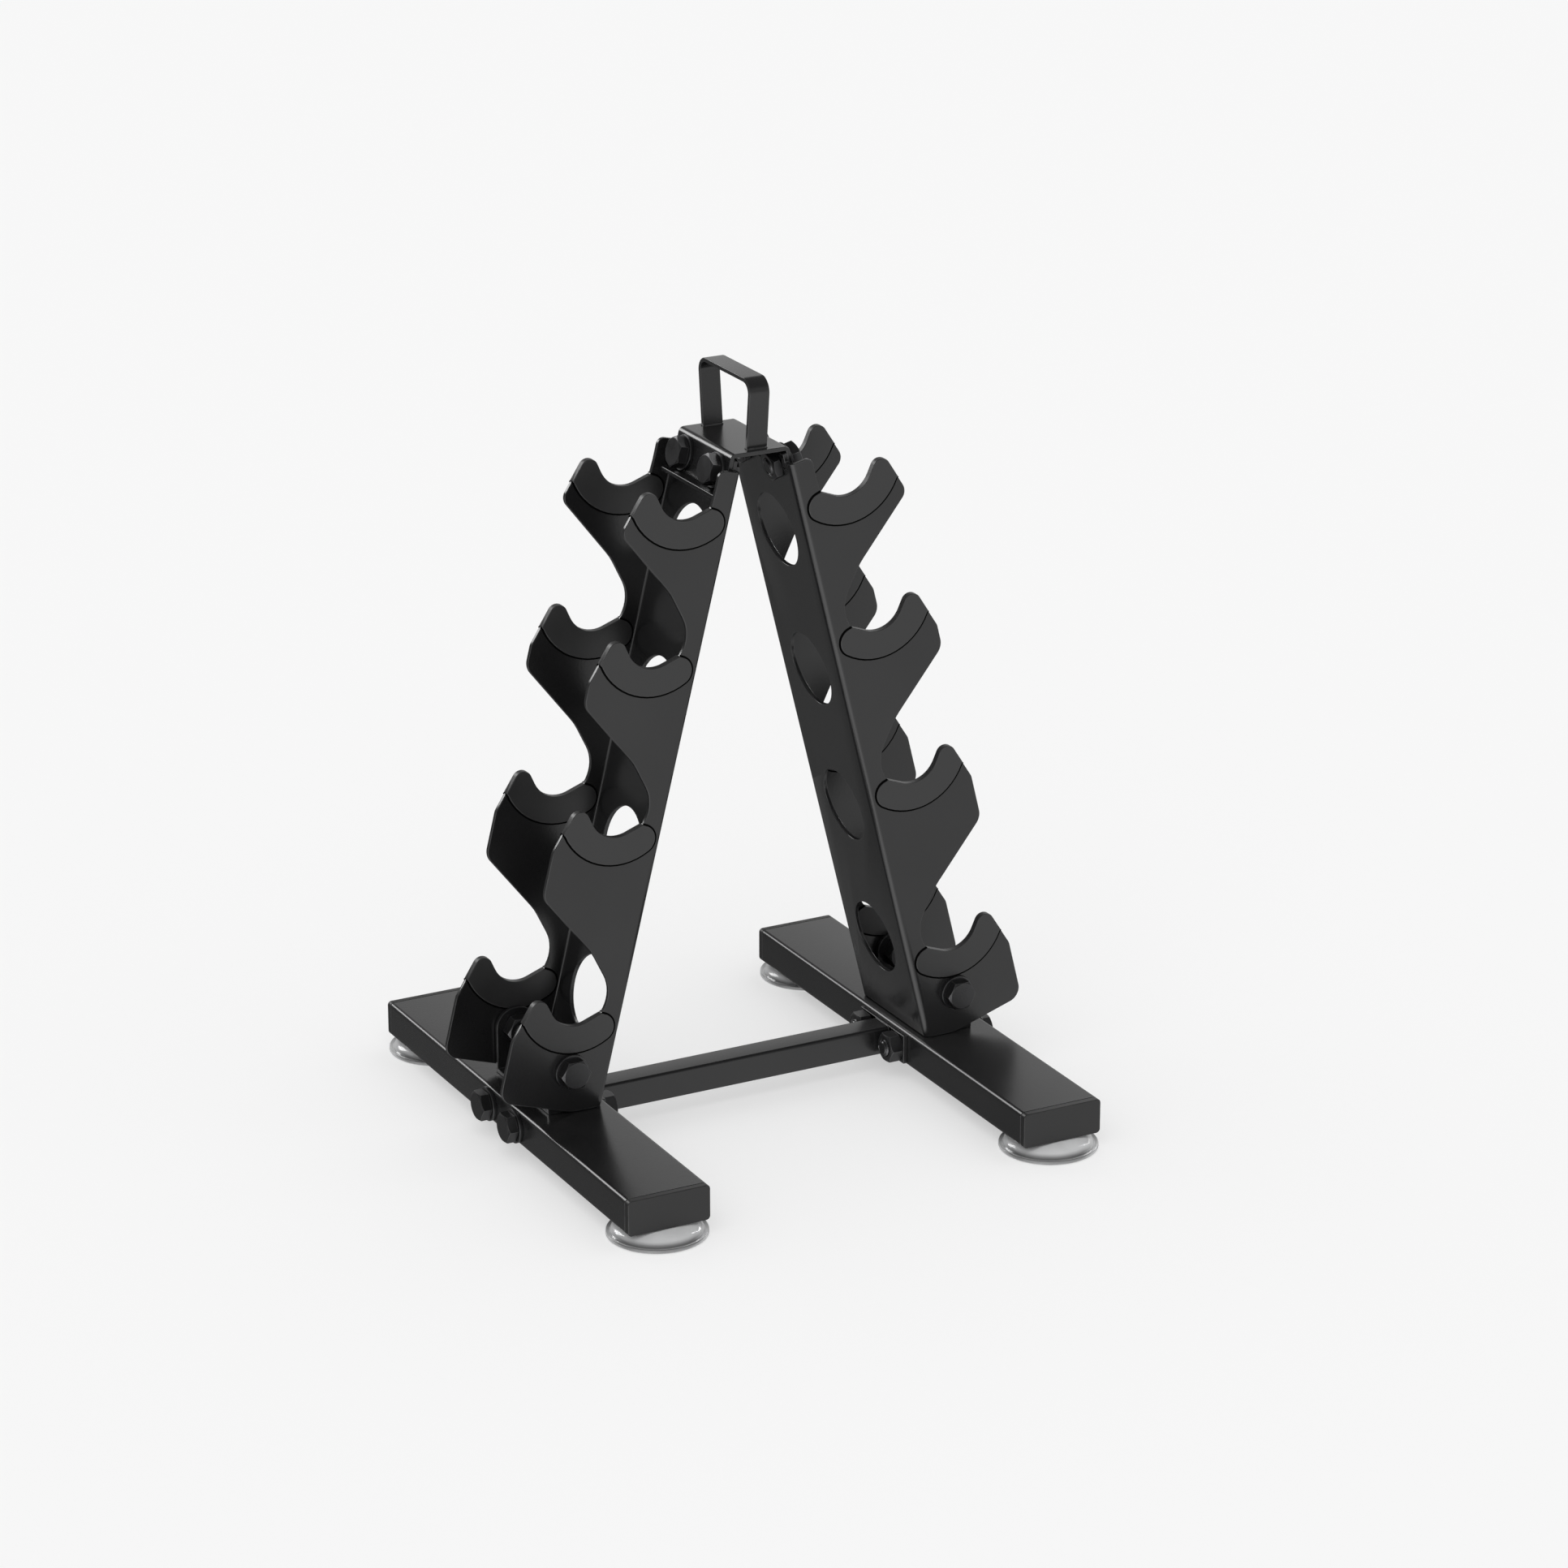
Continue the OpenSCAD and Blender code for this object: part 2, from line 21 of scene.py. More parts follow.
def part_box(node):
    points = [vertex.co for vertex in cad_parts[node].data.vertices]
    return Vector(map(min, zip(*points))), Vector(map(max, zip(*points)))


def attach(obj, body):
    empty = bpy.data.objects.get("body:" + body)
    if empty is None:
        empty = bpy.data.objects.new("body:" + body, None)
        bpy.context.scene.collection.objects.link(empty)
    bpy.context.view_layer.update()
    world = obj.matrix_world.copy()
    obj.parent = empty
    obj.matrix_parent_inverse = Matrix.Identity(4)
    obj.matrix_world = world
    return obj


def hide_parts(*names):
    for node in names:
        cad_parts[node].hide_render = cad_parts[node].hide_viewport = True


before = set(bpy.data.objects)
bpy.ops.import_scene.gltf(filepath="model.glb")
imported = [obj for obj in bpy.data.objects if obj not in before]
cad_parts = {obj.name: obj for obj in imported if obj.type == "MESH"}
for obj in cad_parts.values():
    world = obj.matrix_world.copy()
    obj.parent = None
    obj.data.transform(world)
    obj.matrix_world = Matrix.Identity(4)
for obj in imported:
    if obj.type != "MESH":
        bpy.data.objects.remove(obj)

MM = 0.001
log = logging.getLogger("rack")

Colour = tuple[float, float, float]


class Side(Enum):
    """The two sides of the rack, seen from the front."""

    LEFT = "left"
    RIGHT = "right"


class End(Enum):
    """The two ends of a base tube, and the two plates of an upright."""

    FRONT = "front"
    REAR = "rear"


class Slot(Enum):
    """The record's material slots."""

    STEEL = "coated_steel"
    LINER = "liner_plastic"
    CAP = "cap_plastic"
    HARDWARE = "dark_hardware"
    STUD = "plain_stud"
    FOOT = "clear_foot"


class Look(Enum):
    """The finishes that the rack's pieces wear."""

    POWDER_COAT = "powder_coat"
    LINER_PLASTIC = "liner_plastic"
    # painted shadow line along each liner's edge
    LINER_SEAM = "liner_seam"
    CAP_PLASTIC = "cap_plastic"
    BLACK_OXIDE = "black_oxide"
    ZINC = "zinc_plate"
    CLEAR_VINYL = "clear_vinyl"


class AxisKind(Enum):
    """Whether a fastener's axis is the longest or the shortest way through it."""

    LONG = 2
    SHORT = 0


# ---------- node trees ----------


class Wiring:
    """Adds nodes to a tree and joins them."""

    def __init__(self, tree: bpy.types.NodeTree) -> None:
        """Takes the tree that the nodes go into."""
        self.tree = tree

    def add(self, kind: str, inputs: dict[Any, Any] | None = None, **settings: Any) -> bpy.types.Node:
        """Adds one node.

        Args:
            kind: Blender's name for the type of node.
            inputs: A value, or the socket to join, for each input by name or number.
            **settings: The node's own properties.

        Returns:
            The new node.
        """
        node = self.tree.nodes.new(kind)
        for name, value in settings.items():
            setattr(node, name, value)
        for key, value in (inputs or {}).items():
            if isinstance(value, bpy.types.NodeSocket):
                self.tree.links.new(value, node.inputs[key])
            else:
                node.inputs[key].default_value = value
        return node

    def calc(self, operation: str, *values: Any) -> bpy.types.NodeSocket:
        """Adds a math node of either kind of tree and returns its result."""
        node = self.add("ShaderNodeMath", dict(enumerate(values)), operation=operation)
        return node.outputs[0]

    def blend(self, share: Any, first: Any, second: Any) -> bpy.types.NodeSocket:
        """Mixes two colours.

        Args:
            share: How much of the second colour there is, from 0 to 1.
            first: The first colour.
            second: The second colour.

        Returns:
            The mixed colour.
        """
        node = self.add("ShaderNodeMix", data_type="RGBA")
        for socket, value in zip((node.inputs[0], node.inputs[6], node.inputs[7]), (share, first, second)):
            if isinstance(value, bpy.types.NodeSocket):
                self.tree.links.new(value, socket)
            else:
                socket.default_value = value
        return node.outputs[2]

    def shade(self, first: Any, second: Any) -> bpy.types.NodeSocket:
        """Multiplies two colours.

        Args:
            first: The first colour.
            second: The second colour.

        Returns:
            The product.
        """
        node = self.add("ShaderNodeMix", data_type="RGBA", blend_type="MULTIPLY")
        node.inputs[0].default_value = 1.0
        self.tree.links.new(first, node.inputs[6])
        self.tree.links.new(second, node.inputs[7])
        return node.outputs[2]

    def span(self, *values: Any) -> bpy.types.NodeSocket:
        """Maps a value from a range (by default to 0 and 1, or to a second range), clamped."""
        return self.add("ShaderNodeMapRange", dict(enumerate(values))).outputs[0]


def effect_group(name: str, inputs: dict[str, float], outputs: tuple[str, ...]) -> tuple[Wiring, Any, Any]:
    """Starts a shader node group.

    Args:
        name: The group's name.
        inputs: The default value of each input by name.
        outputs: The names of the outputs.

    Returns:
        The wiring of the group, its input node and its output node.
    """
    tree = bpy.data.node_groups.new(name, "ShaderNodeTree")
    for label, value in inputs.items():
        socket = tree.interface.new_socket(name=label, in_out="INPUT", socket_type="NodeSocketFloat")
        socket.default_value = value
    for label in outputs:
        tree.interface.new_socket(name=label, in_out="OUTPUT", socket_type="NodeSocketFloat")
    wiring = Wiring(tree)
    return wiring, wiring.add("NodeGroupInput"), wiring.add("NodeGroupOutput")


def grain_group() -> bpy.types.NodeTree:
    """Fine skin of a coating or moulding, with broad patches of slightly different gloss.

    Returns:
        The group's tree.
    """
    w, given, out = effect_group(
        "skin_grain",
        {"Grain Scale": 900.0, "Patch Scale": 9.0},
        ("Height", "Patches"),
    )
    place = w.add("ShaderNodeTexCoord").outputs["Object"]
    fine = w.add(
        "ShaderNodeTexNoise",
        {"Vector": place, "Scale": given.outputs["Grain Scale"], "Detail": 2.0, "Roughness": 0.55},
    )
    broad = w.add(
        "ShaderNodeTexNoise",
        {"Vector": place, "Scale": given.outputs["Patch Scale"], "Detail": 3.0, "Roughness": 0.5},
    )
    w.tree.links.new(fine.outputs[0], out.inputs["Height"])
    w.tree.links.new(w.span(broad.outputs[0], 0.3, 0.7), out.inputs["Patches"])
    return w.tree


def edge_wear_and_highlight_group() -> bpy.types.NodeTree:
    """Rubbed edges, also a painted edge highlight: strongest where the surface turns sharply, and broken up
    by noise.

    Returns:
        The group's tree.
    """
    w, given, out = effect_group(
        "edge_wear",
        {"Radius": 0.0012, "Amount": 0.5, "Break-up Scale": 60.0},
        ("Mask",),
    )
    place = w.add("ShaderNodeTexCoord").outputs["Object"]
    rounded = w.add("ShaderNodeBevel", {"Radius": given.outputs["Radius"]}, samples=6)
    flat = w.add("ShaderNodeNewGeometry")
    turn = w.add(
        "ShaderNodeVectorMath",
        {0: rounded.outputs[0], 1: flat.outputs["Normal"]},
        operation="DOT_PRODUCT",
    )
    edge = w.span(turn.outputs["Value"], 0.995, 0.86)
    broken = w.add(
        "ShaderNodeTexNoise",
        {"Vector": place, "Scale": given.outputs["Break-up Scale"], "Detail": 4.0, "Roughness": 0.6},
    )
    patchy = w.span(broken.outputs[0], 0.38, 0.66, 0.25, 1.0)
    mask = w.calc("MULTIPLY", w.calc("MULTIPLY", edge, patchy), given.outputs["Amount"])
    w.tree.links.new(mask, out.inputs["Mask"])
    return w.tree


def dust_group() -> bpy.types.NodeTree:
    """A trace of dust on the faces that look up.

    Returns:
        The group's tree.
    """
    w, given, out = effect_group("settled_dust", {"Amount": 0.1}, ("Mask",))
    place = w.add("ShaderNodeTexCoord").outputs["Object"]
    up = w.add("ShaderNodeSeparateXYZ", {0: w.add("ShaderNodeNewGeometry").outputs["Normal"]}).outputs[2]
    cloud = w.add("ShaderNodeTexNoise", {"Vector": place, "Scale": 24.0, "Detail": 6.0, "Roughness": 0.7})
    settled = w.calc("MULTIPLY", w.span(up, 0.35, 0.95), w.span(cloud.outputs[0], 0.4, 0.75))
    w.tree.links.new(w.calc("MULTIPLY", settled, given.outputs["Amount"]), out.inputs["Mask"])
    return w.tree


# ---------- finishes ----------


class Effects:
    """The shared shader groups, each built once."""

    def __init__(self) -> None:
        """Builds the groups."""
        self.grain = grain_group()
        self.wear_and_highlight = edge_wear_and_highlight_group()
        self.dust = dust_group()


@dataclass(frozen=True)
class SolidFinish:
    """A finish that light doesn't pass: coated steel, moulded plastic or treated hardware."""

    slot: Slot
    colour: Colour
    patch_colour: Colour
    # lightens rubbed edges, and also paints a highlight along them
    worn_and_highlight_colour: Colour
    roughness: tuple[float, float]
    metallic: float
    grain_scale: float
    grain_depth: float
    wear_and_highlight: float
    wear_and_highlight_radius: float
    dust: float
    specular: float = 0.5
    patch_scale: float = 9.0
    dust_colour: Colour = (0.30, 0.29, 0.27)

    def material(self, name: str, effects: Effects) -> bpy.types.Material:
        """Builds the material.

        Args:
            name: The material's name.
            effects: The shared shader groups.

        Returns:
            The finished material.
        """
        made = bpy.data.materials.new(name)
        made.use_nodes = True
        made.diffuse_color = (*self.colour, 1.0)
        made.node_tree.nodes.clear()
        w = Wiring(made.node_tree)
        grain = w.add("ShaderNodeGroup", node_tree=effects.grain)
        grain.inputs["Grain Scale"].default_value = self.grain_scale
        grain.inputs["Patch Scale"].default_value = self.patch_scale
        wear_and_highlight = w.add("ShaderNodeGroup", node_tree=effects.wear_and_highlight)
        wear_and_highlight.inputs["Radius"].default_value = self.wear_and_highlight_radius
        wear_and_highlight.inputs["Amount"].default_value = self.wear_and_highlight
        dust = w.add("ShaderNodeGroup", node_tree=effects.dust)
        dust.inputs["Amount"].default_value = self.dust
        patches = grain.outputs["Patches"]
        base = w.blend(patches, (*self.colour, 1.0), (*self.patch_colour, 1.0))
        # edges lighten for wear and as a painted highlight
        worn_and_lit = w.blend(wear_and_highlight.outputs["Mask"], base, (*self.worn_and_highlight_colour, 1.0))
        dusty = w.blend(dust.outputs["Mask"], worn_and_lit, (*self.dust_colour, 1.0))
        gloss = w.span(patches, 0.0, 1.0, *self.roughness)
        dulled = w.calc("MULTIPLY_ADD", dust.outputs["Mask"], 0.35, gloss)
        bump = w.add(
            "ShaderNodeBump",
            {"Strength": 1.0, "Distance": self.grain_depth, "Height": grain.outputs["Height"]},
        )
        shader = w.add(
            "ShaderNodeBsdfPrincipled",
            {
                "Base Color": dusty,
                "Roughness": dulled,
                "Metallic": self.metallic,
                "Specular IOR Level": self.specular,
                "Normal": bump.outputs[0],
            },
        )
        w.add("ShaderNodeOutputMaterial", {"Surface": shader.outputs[0]})
        return made


@dataclass(frozen=True)
class ClearFinish:
    """Clear moulded vinyl, slightly milky and a little scuffed."""

    slot: Slot
    colour: Colour
    milky_colour: Colour
    roughness: tuple[float, float]
    ior: float
    transmission: float
    grain_scale: float
    grain_depth: float
    # painted shade and highlight: grey bands up the foot stand in for its shading and reflections
    painted_light_bands: tuple[tuple[float, float], ...]
    painted_light_height: float = 0.010
    # painted sheen: the bands fade to white where the surface turns away from the eye
    painted_sheen_fade: tuple[float, float] = (0.30, 0.72)
    patch_scale: float = 70.0

    def material(self, name: str, effects: Effects) -> bpy.types.Material:
        """Builds the material.

        Bands of painted shade and highlight go up the foot, darkest in a ring low on the dome,
        and a painted sheen whitens it where the surface turns away from the eye.

        Args:
            name: The material's name.
            effects: The shared shader groups.

        Returns:
            The finished material.
        """
        made = bpy.data.materials.new(name)
        made.use_nodes = True
        made.diffuse_color = (*self.colour, 1.0)
        made.node_tree.nodes.clear()
        w = Wiring(made.node_tree)
        height = w.add("ShaderNodeSeparateXYZ", {0: w.add("ShaderNodeTexCoord").outputs["Object"]}).outputs[2]
        # painted shade and highlight, banded by height above the foot's base
        shade_ramp = w.add("ShaderNodeValToRGB", {0: w.span(height, 0.0, self.painted_light_height)})
        stops = shade_ramp.color_ramp.elements
        while len(stops) < len(self.painted_light_bands):
            stops.new(0.5)
        for stop, (place, tone) in zip(stops, self.painted_light_bands):
            stop.position = place
            stop.color = (tone, tone, tone, 1.0)
        facing = w.add("ShaderNodeLayerWeight", {"Blend": 0.5}).outputs["Facing"]
        # painted sheen: the colour goes toward white at grazing angles
        shade_and_sheen = w.blend(w.span(facing, *self.painted_sheen_fade), shade_ramp.outputs[0], (1.0, 1.0, 1.0, 1.0))
        grain = w.add("ShaderNodeGroup", node_tree=effects.grain)
        grain.inputs["Grain Scale"].default_value = self.grain_scale
        grain.inputs["Patch Scale"].default_value = self.patch_scale
        patches = grain.outputs["Patches"]
        body = w.blend(patches, (*self.colour, 1.0), (*self.milky_colour, 1.0))
        bump = w.add(
            "ShaderNodeBump",
            {"Strength": 1.0, "Distance": self.grain_depth, "Height": grain.outputs["Height"]},
        )
        shader = w.add(
            "ShaderNodeBsdfPrincipled",
            {
                "Base Color": w.shade(body, shade_and_sheen),
                "Roughness": w.span(patches, 0.0, 1.0, *self.roughness),
                "IOR": self.ior,
                "Transmission Weight": self.transmission,
                "Normal": bump.outputs[0],
            },
        )
        w.add("ShaderNodeOutputMaterial", {"Surface": shader.outputs[0]})
        return made


FINISHES: dict[Look, SolidFinish | ClearFinish] = {
    Look.POWDER_COAT: SolidFinish(
        slot=Slot.STEEL,
        colour=(0.0072, 0.0072, 0.0075),
        patch_colour=(0.0142, 0.0142, 0.0145),
        # light edges: partly rubbed coating, partly a painted edge highlight
        worn_and_highlight_colour=(0.110, 0.110, 0.112),
        roughness=(0.20, 0.27),
        metallic=0.0,
        grain_scale=620.0,
        grain_depth=0.00004,
        wear_and_highlight=0.8,
        wear_and_highlight_radius=0.0012,
        dust=0.015,
    ),
    Look.LINER_PLASTIC: SolidFinish(
        slot=Slot.LINER,
        colour=(0.0125, 0.0125, 0.0128),
        patch_colour=(0.0170, 0.0170, 0.0173),
        worn_and_highlight_colour=(0.100, 0.100, 0.100),
        roughness=(0.38, 0.48),
        metallic=0.0,
        grain_scale=1500.0,
        grain_depth=0.00006,
        wear_and_highlight=0.55,
        wear_and_highlight_radius=0.0012,
        dust=0.03,
        specular=0.62,
        patch_scale=22.0,
    ),
    # painted shadow: near-black with no gloss, for the dark line along each liner's edge
    Look.LINER_SEAM: SolidFinish(
        slot=Slot.LINER,
        colour=(0.0015, 0.0015, 0.0015),
        patch_colour=(0.0025, 0.0025, 0.0025),
        worn_and_highlight_colour=(0.003, 0.003, 0.003),
        roughness=(0.85, 0.95),
        metallic=0.0,
        grain_scale=1500.0,
        grain_depth=0.00003,
        wear_and_highlight=0.05,
        wear_and_highlight_radius=0.0004,
        dust=0.0,
        specular=0.0,
    ),
    Look.CAP_PLASTIC: SolidFinish(
        slot=Slot.CAP,
        colour=(0.0105, 0.0105, 0.0108),
        patch_colour=(0.0140, 0.0140, 0.0143),
        worn_and_highlight_colour=(0.100, 0.100, 0.100),
        roughness=(0.38, 0.46),
        metallic=0.0,
        grain_scale=1300.0,
        grain_depth=0.00005,
        wear_and_highlight=0.6,
        wear_and_highlight_radius=0.0014,
        dust=0.03,
        patch_scale=30.0,
    ),
    Look.BLACK_OXIDE: SolidFinish(
        slot=Slot.HARDWARE,
        colour=(0.0420, 0.0420, 0.0430),
        patch_colour=(0.0600, 0.0600, 0.0615),
        worn_and_highlight_colour=(0.300, 0.300, 0.305),
        roughness=(0.26, 0.40),
        metallic=0.85,
        grain_scale=1100.0,
        grain_depth=0.00004,
        wear_and_highlight=0.7,
        wear_and_highlight_radius=0.0009,
        dust=0.02,
        patch_scale=80.0,
    ),
    Look.ZINC: SolidFinish(
        slot=Slot.STUD,
        colour=(0.560, 0.565, 0.575),
        patch_colour=(0.640, 0.645, 0.650),
        worn_and_highlight_colour=(0.780, 0.780, 0.780),
        roughness=(0.22, 0.36),
        metallic=1.0,
        grain_scale=900.0,
        grain_depth=0.00003,
        wear_and_highlight=0.4,
        wear_and_highlight_radius=0.0005,
        dust=0.0,
        patch_scale=120.0,
    ),
    Look.CLEAR_VINYL: ClearFinish(
        slot=Slot.FOOT,
        colour=(0.90, 0.905, 0.91),
        milky_colour=(0.78, 0.785, 0.79),
        roughness=(0.05, 0.12),
        ior=1.52,
        transmission=0.30,
        grain_scale=260.0,
        grain_depth=0.00006,
        # painted shade and highlight: a dark ring low on the dome, white higher up
        painted_light_bands=((0.0, 0.55), (0.24, 0.30), (0.30, 0.16), (0.42, 0.30), (0.62, 0.85), (1.0, 1.0)),
    ),
}


class Palette:
    """Every finish's material."""

    def __init__(self) -> None:
        """Builds the shared groups and the materials."""
        effects = Effects()
        self.materials = {look: finish.material(look.value, effects) for look, finish in FINISHES.items()}

    def dress(self, piece: bpy.types.Object, look: Look, *nodes: str) -> bpy.types.Object:
        """Gives a piece its finish and its place in the frame.

        Args:
            piece: The finished mesh object.
            look: The finish that it takes.
            *nodes: The CAD nodes that it stands for.

        Returns:
            The same piece.
        """
        piece.data.materials.clear()
        piece.data.materials.append(self.materials[look])
        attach(piece, "root")
        if nodes:
            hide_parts(*nodes)
        log.info("%s: %d faces, %s", piece.name, len(piece.data.polygons), look.value)
        return piece


# ---------- meshes ----------


def new_piece(name: str, mesh: bpy.types.Mesh) -> bpy.types.Object:
    """Puts a mesh into the scene as an object at the origin.

    Args:
        name: The object's name.
        mesh: Its mesh.

    Returns:
        The object.
    """
    piece = bpy.data.objects.new(name, mesh)
    bpy.context.scene.collection.objects.link(piece)
    return piece


def shade_by_angle(mesh: bpy.types.Mesh, degrees: float = 32.0) -> None:
    """Smooths a mesh except at the edges that turn more sharply than the angle."""
    mesh.shade_smooth()
    mesh.set_sharp_from_angle(angle=math.radians(degrees))


def merged(node: str) -> bmesh.types.BMesh:
    """Copies a CAD node's mesh with its triangles joined at their corners.

    Args:
        node: The CAD node.

    Returns:
        The copy, which the caller frees.
    """
    bm = bmesh.new()
    bm.from_mesh(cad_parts[node].data)
    bmesh.ops.remove_doubles(bm, verts=bm.verts, dist=2e-6)
    return bm


def flat_faced(node: str) -> bmesh.types.BMesh:
    """Copies a CAD node's mesh with each flat face in one piece.

    Args:
        node: The CAD node.

    Returns:
        The copy, which the caller frees.
    """
    bm = merged(node)
    bmesh.ops.dissolve_degenerate(bm, edges=bm.edges, dist=1e-6)
    bmesh.ops.dissolve_limit(bm, angle_limit=math.radians(0.6), verts=bm.verts, edges=bm.edges)
    return bm


def path_mesh(name: str, paths: list[list[Vector]]) -> bpy.types.Mesh:
    """Makes a mesh of edges along each path.

    Args:
        name: The mesh's name.
        paths: The corner points of each path.

    Returns:
        The mesh.
    """
    points, edges = [], []
    for path in paths:
        start = len(points)
        points += path
        edges += [(start + i, start + i + 1) for i in range(len(path) - 1)]
    mesh = bpy.data.meshes.new(name)
    mesh.from_pydata(points, edges, [])
    return mesh


def softened_copy(node: str, name: str, edge: float, rounds: int = 2) -> bpy.types.Object:
    """Copies a CAD node and rounds its sharp edges slightly.

    Args:
        node: The CAD node.
        name: The new piece's name.
        edge: Width of the rounding.
        rounds: Number of faces across the rounding.

    Returns:
        The new piece.
    """
    bm = flat_faced(node)
    mesh = bpy.data.meshes.new(name)
    bm.to_mesh(mesh)
    bm.free()
    shade_by_angle(mesh)
    piece = new_piece(name, mesh)
    bevel = piece.modifiers.new("soft_edges", "BEVEL")
    bevel.width = edge
    bevel.segments = rounds
    bevel.limit_method = "ANGLE"
    bevel.angle_limit = math.radians(32)
    bevel.use_clamp_overlap = False
    bevel.harden_normals = True
    return plain(piece, name)


def plain(piece: bpy.types.Object, name: str) -> bpy.types.Object:
    """Turns a piece with modifiers into a plain mesh object.

    Args:
        piece: The piece, which is removed.
        name: The new object's name.

    Returns:
        The new object.
    """
    dg = bpy.context.evaluated_depsgraph_get()
    mesh = bpy.data.meshes.new_from_object(piece.evaluated_get(dg), depsgraph=dg)
    seed = piece.data
    bpy.data.objects.remove(piece)
    bpy.data.meshes.remove(seed)
    mesh.name = name
    return new_piece(name, mesh)


def ring(radius: float | np.ndarray, height: float | np.ndarray, steps: int) -> np.ndarray:
    """Points of one closed ring about Z, whose radius and height may change round it."""
    turn = np.arange(steps) * 2 * math.pi / steps
    return np.stack([radius * np.cos(turn), radius * np.sin(turn), np.broadcast_to(height, (steps,))], 1)


def skin(name: str, rings: list[np.ndarray], looped: bool = False) -> bpy.types.Mesh:
    """Joins rings of points into a closed surface.

    Args:
        name: The mesh's name.
        rings: The rings, each with the same number of points.
        looped: Whether the last ring joins the first; otherwise both ends are capped.

    Returns:
        The mesh, with its faces outward.
    """
    bm = bmesh.new()
    rows = [[bm.verts.new(p) for p in points] for points in rings]
    pairs = list(zip(rows, rows[1:])) + ([(rows[-1], rows[0])] if looped else [])
    for low, high in pairs:
        for i in range(len(low)):
            j = (i + 1) % len(low)
            bm.faces.new((low[i], low[j], high[j], high[i]))
    if not looped:
        bm.faces.new(rows[0][::-1])
        bm.faces.new(rows[-1])
    bmesh.ops.recalc_face_normals(bm, faces=bm.faces)
    mesh = bpy.data.meshes.new(name)
    bm.to_mesh(mesh)
    bm.free()
    shade_by_angle(mesh, 28.0)
    return mesh


# ---------- where the fasteners sit ----------


@dataclass(frozen=True)
class Seat:
    """Where one fastener sits, and how large its CAD solid is."""

    foot: Vector
    turn: tuple[float, float, float]
    length: float
    radius: float
    bore: float
    head: float


def solids(node: str) -> list[np.ndarray]:
    """Finds each separate solid in a CAD node.

    Args:
        node: The CAD node.

    Returns:
        The corner points of each solid.
    """
    bm = merged(node)
    left = set(bm.verts)
    found = []
    while left:
        queue = [min(left, key=lambda v: v.index)]
        left.discard(queue[0])
        for vert in queue:
            for edge in vert.link_edges:
                other = edge.other_vert(vert)
                if other in left:
                    left.discard(other)
                    queue.append(other)
        found.append(np.array([v.co for v in queue], float))
    bm.free()
    return found


def seat_of(points: np.ndarray, kind: AxisKind) -> Seat:
    """Works out a fastener's axis, size and turn from its corner points.

    Args:
        points: The corner points of one solid.
        kind: Whether the axis is the longest or the shortest way through it.

    Returns:
        The seat. Its axis points toward the wide end, and its foot is at the narrow one.
    """
    centre = points.mean(0)
    axis = np.linalg.eigh(np.cov((points - centre).T))[1][:, kind.value]
    along = (points - centre) @ axis
    across = (points - centre) - along[:, None] * axis
    reach = np.linalg.norm(across, axis=1)
    wide = reach > reach.max() - 1e-5
    if along[wide].mean() < along.mean() or (kind is AxisKind.SHORT and axis @ centre < 0):
        axis, along = -axis, -along
    corner = across[wide][0] / reach[wide][0]
    turn = Matrix((corner, np.cross(axis, corner), axis)).transposed().to_euler()
    return Seat(
        foot=Vector(centre + axis * along.min()),
        turn=tuple(turn),
        length=float(np.ptp(along)),
        radius=float(reach.max()),
        bore=float(reach.min()),
        head=float(np.ptp(along[wide])),
    )


def seats(node: str, kind: AxisKind) -> list[Seat]:
    """The seats of every fastener in a CAD node."""
    return [seat_of(points, kind) for points in solids(node)]


def seat_points(name: str, places: list[Seat]) -> bpy.types.Mesh:
    """Makes a mesh with one point for each seat, which carries the seat's turn.

    Args:
        name: The mesh's name.
        places: The seats.

    Returns:
        The mesh.
    """
    mesh = bpy.data.meshes.new(name)
    mesh.from_pydata([p.foot for p in places], [], [])
    turns = mesh.attributes.new("turn", "FLOAT_VECTOR", "POINT")
    turns.data.foreach_set("vector", [x for p in places for x in p.turn])
    return mesh


# ---------- geometry recipes ----------


